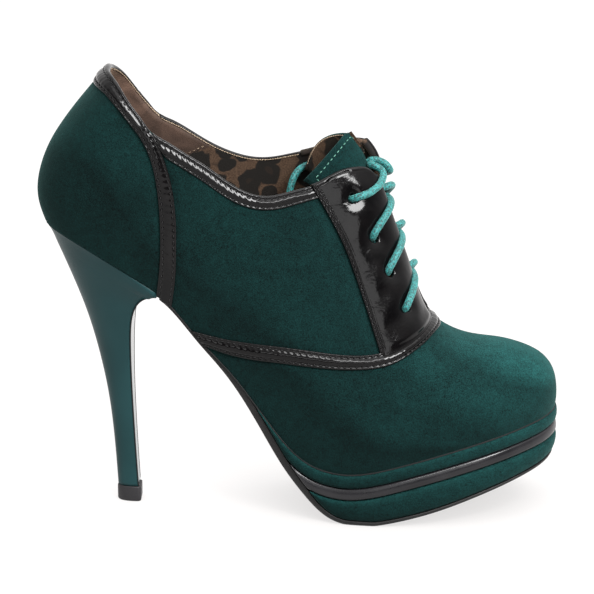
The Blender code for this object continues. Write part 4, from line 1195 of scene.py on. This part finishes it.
def tier_floor(drop):
    return lambda x: np.maximum(feather_z(x) - drop, outsole_top(x) + CLEARANCE)


def tier_roof(drop):
    return lambda x: feather_z(x) - drop - CLEARANCE


# The platform's suede has painted light and shade too, paler where it faces up and forward.
platform_suede = suede_finish("platform_suede", (
    (-0.6, 0.0064), (-0.1, 0.0118), (0.3, 0.0180), (0.8, 0.0240)))
band_patent, tree, shader, place = finish("band_patent", Specular_IOR_Level=0.35)
sheen = speckle(tree, place, 60.0)
coloured(tree, shader, spread(tree, sheen, 0.3, 0.7), (0.006, 0.0058, 0.007), (0.014, 0.0135, 0.0155))
shined(tree, shader, sheen, 0.22, 0.32)
TIERS = (("platform_rand", tier_floor(RAND), tier_roof(0.0), platform_suede, "suede",
          ((-0.7, 0.0), (0.15, 0.03), (0.65, 0.12), (0.90, 0.30), (0.95, 0.55), (0.80, 0.78), (0.40, 0.93),
           (-0.5, 1.0))),
         ("platform_band", tier_floor(RAND + BAND), tier_roof(RAND), band_patent, "patent",
          ((-0.7, 0.0), (0.1, 0.03), (0.55, 0.12), (0.80, 0.26), (0.82, 0.42), (0.66, 0.62), (0.38, 0.82),
           (0.0, 0.96), (-0.7, 1.0))),
         ("platform_lower", tier_floor(TO_OUTSOLE), tier_roof(RAND + BAND), platform_suede, "suede",
          ((-1.5, 0.0), (-0.75, 0.04), (-0.1, 0.14), (0.45, 0.32), (0.80, 0.55), (0.85, 0.75), (0.60, 0.90),
           (0.1, 0.97), (-0.7, 1.0))))
for k, (name, floor_of, roof_of, cover, slot, wall) in enumerate(TIERS):
    rear = float(meet(lambda x: roof_of(x) - floor_of(x) - THIN_REAR, 20.0, -30.0))
    sole_layer(name + "_cover", rear, floor_of, roof_of, wall, cover, name, 63 + k)

# Joint line: a fine black cord laid in the joint between the upper and the platform, from the shank round
# the toe to the other side.
# It is painted shade, a dark line standing in for the joint's shadow.
JOINT_SHADE_CORD = 0.75
JOINT_SHADE_REAR = -61.0
left, right = plan(-0.08)
seam = np.vstack((left[::-1], right[1:]))
seam = seam[seam[:, 0] > JOINT_SHADE_REAR]
form = bmesh.new()
cord_form(form, np.column_stack((seam, feather_z(seam[:, 0]) - 0.15)), JOINT_SHADE_CORD, 6)
made_piece(form, "joint_shade_line", [black_thread])

# Outsole: thin black rubber with a fine grit, cut a little inside the platform's edge. It is glued
# under the platform and up the shank to the heel's breast.
HEEL_FRONT = -63.0
rubber, tree, shader, place = finish("black_rubber", Specular_IOR_Level=0.35)
grit = speckle(tree, place, 900.0, 4.0)
scuff = spread(tree, speckle(tree, place, 70.0, 4.0, 1.0), 0.55, 0.8)
coloured(tree, shader, scuff, (0.004, 0.0038, 0.004), (0.012, 0.011, 0.011))
shined(tree, shader, grit, 0.38, 0.6)
raised(tree, shader, grit, 0.3, 0.25)
sole_layer("outsole_rubber", HEEL_FRONT + CLEARANCE, tread_z, outsole_top,
           ((-1.7, 0.0), (-1.15, 0.15), (-0.8, 0.5), (-0.7, 0.85), (-1.0, 1.0)),
           rubber, "outsole", 70)

# Heel: a slim moulded block under the seat, covered in smooth green leather drawn round it and over
# the edges of its flat front, the breast, which is polished.
Heel = namedtuple("Heel", "back_x back_z breast_x breast_z half_width")
HEEL = [Heel(*row) for row in (
    (-113.4, 130.6, -63.0, 101.4, 25.0), (-110.4, 124.0, -68.6, 101.0, 23.0),
    (-105.4, 112.0, -73.2, 96.8, 19.2), (-100.8, 100.4, -75.8, 89.0, 15.8),
    (-95.6, 85.0, -76.7, 77.5, 12.4), (-90.7, 65.0, -76.8, 62.5, 9.2), (-87.4, 45.0, -76.4, 45.0, 7.2),
    (-85.6, 25.0, -75.6, 25.0, 6.0), (-84.6, 7.5, -74.7, 7.5, 5.4))]
HEEL_STEPS, BACK_STEPS, BREAST_STEPS = 110, 48, 18
BREAST_EDGE = 0.5
BREAST_LIP = 2.1
EDGE_LINE = 0.65

cover, tree, shader, place = finish("green_heel_leather", Specular_IOR_Level=0.16)
grain = speckle(tree, place, 1300.0, 3.0)
cloud = spread(tree, speckle(tree, place, 45.0, 3.0), 0.3, 0.7)
coloured(tree, shader, cloud, (0.0060, 0.0290, 0.0315), (0.0088, 0.0380, 0.0410))
shined(tree, shader, grain, 0.34, 0.46)
raised(tree, shader, grain, 0.12, 0.2)

polished, tree, shader, place = finish("polished_breast", Roughness=0.12, Specular_IOR_Level=0.6)
coloured(tree, shader, speckle(tree, place, 45.0), (0.0056, 0.0280, 0.0305), (0.0082, 0.0365, 0.0395))


def breast_ring(j, half, front, back, edge):
    """A section round the heel: its curved back, then its flat front with rounded edges."""
    along = np.clip(j / BACK_STEPS, 0, 1) * 2 - 1
    side = np.where(along <= 0, -1, 1)
    rear = np.sin(math.pi / 2 * (1 - np.abs(along)))
    across = 1 - 2 * np.clip((j - BACK_STEPS) / BREAST_STEPS, 0, 1)
    corner = np.clip((np.abs(across) - 1) * half / edge + 1, 0, 1)
    on_breast = j > BACK_STEPS
    x = np.where(on_breast, front - edge * (1 - np.sqrt(1 - corner ** 2)),
                 front - edge + (back - front + edge) * rear)
    y = np.where(on_breast, half * across, side * half * np.sqrt(np.maximum(0, 1 - rear ** 2.2)))
    return x, y, np.where(on_breast, 0.0, rear), np.where(on_breast, np.sign(across), side)


heel_at = drawn_curve(range(len(HEEL)), HEEL)
form, i, j = sheet(HEEL_STEPS, BACK_STEPS + BREAST_STEPS)
level = i / HEEL_STEPS * (len(HEEL) - 1)
back_x, back_z, breast_x, breast_z, half = heel_at(level).T
x, y, rear, side = breast_ring(j, half, breast_x, back_x, BREAST_EDGE)
z = breast_z + (back_z - breast_z) * rear
seat = np.clip(1 - level, 0, 1)
y_seat = [np.interp(-x, -edge[:, 0], edge[:, 1]) for edge in plan(-0.3)]
y_seat = np.where(side < 0, *y_seat)
flat = np.where(half > 0, np.abs(y) / half, 0)
y_seat = np.where(j > BACK_STEPS, y_seat * flat, np.where(rear < 1, y_seat, 0))
y = seat * y_seat + (1 - seat) * y
z = seat * (feather_z(x) - CLEARANCE) + (1 - seat) * z
lip = np.clip(level / 0.12, 0, 1) * np.clip((1 - level) / 0.35, 0, 1) ** 0.7
z = z - BREAST_LIP * (1 - rear) ** 6 * lip
lay(form, np.stack((x, y, z), -1))
form.verts.index_update()
for face in form.faces:
    face.material_index = int(j[[v.index for v in face.verts]].min() >= BACK_STEPS)
made_piece(form, "heel_cover", [cover, polished], "heel")

# Breast edges: the cover's cut leather edges, drawn round the block and glued, show as a dark line
# down both sides of the breast.
form = bmesh.new()
back_x, back_z, breast_x, breast_z, half = heel_at(np.linspace(0.9, len(HEEL) - 1, 90)).T
for side in (-1, 1):
    cord_form(form, np.column_stack((breast_x - 0.2, side * (half + 0.05), breast_z)), EDGE_LINE, 6)
made_piece(form, "breast_edges", [black_thread])

# Top piece: the heel's wearing tip, hard dark rubber moulded to the heel's section with a slight rim.
# It is pressed and nailed under the heel.
TOP_PIECE = 7.2
TIP_WALL = ((0.0, -0.7), (0.0, -0.25), (0.25, 0.05), (0.7, 0.28), (3.5, 0.3), (6.6, 0.3), (7.0, 0.15),
            (TOP_PIECE, -0.3))
TIP_FRONT, TIP_EDGE = 0.6, 0.8
tip_rubber, tree, shader, place = finish("grey_tip_rubber", Roughness=0.5, Specular_IOR_Level=0.35)
grit = speckle(tree, place, 700.0, 3.0)
coloured(tree, shader, grit, (0.009, 0.0085, 0.010), (0.020, 0.019, 0.021))
raised(tree, shader, grit, 0.2, 0.2)
form, i, j = sheet(len(TIP_WALL) - 1, BACK_STEPS + BREAST_STEPS)
rise, grow = np.array(TIP_WALL)[i].T
tip = HEEL[-1]
tip_front = tip.breast_x + TIP_FRONT + grow
x, y, rear, side = breast_ring(j, tip.half_width + grow, tip_front, tip.back_x - grow, TIP_EDGE)
lay(form, np.stack((x, y, rise), -1))
made_piece(form, "heel_tip_rubber", [tip_rubber], "top_piece")
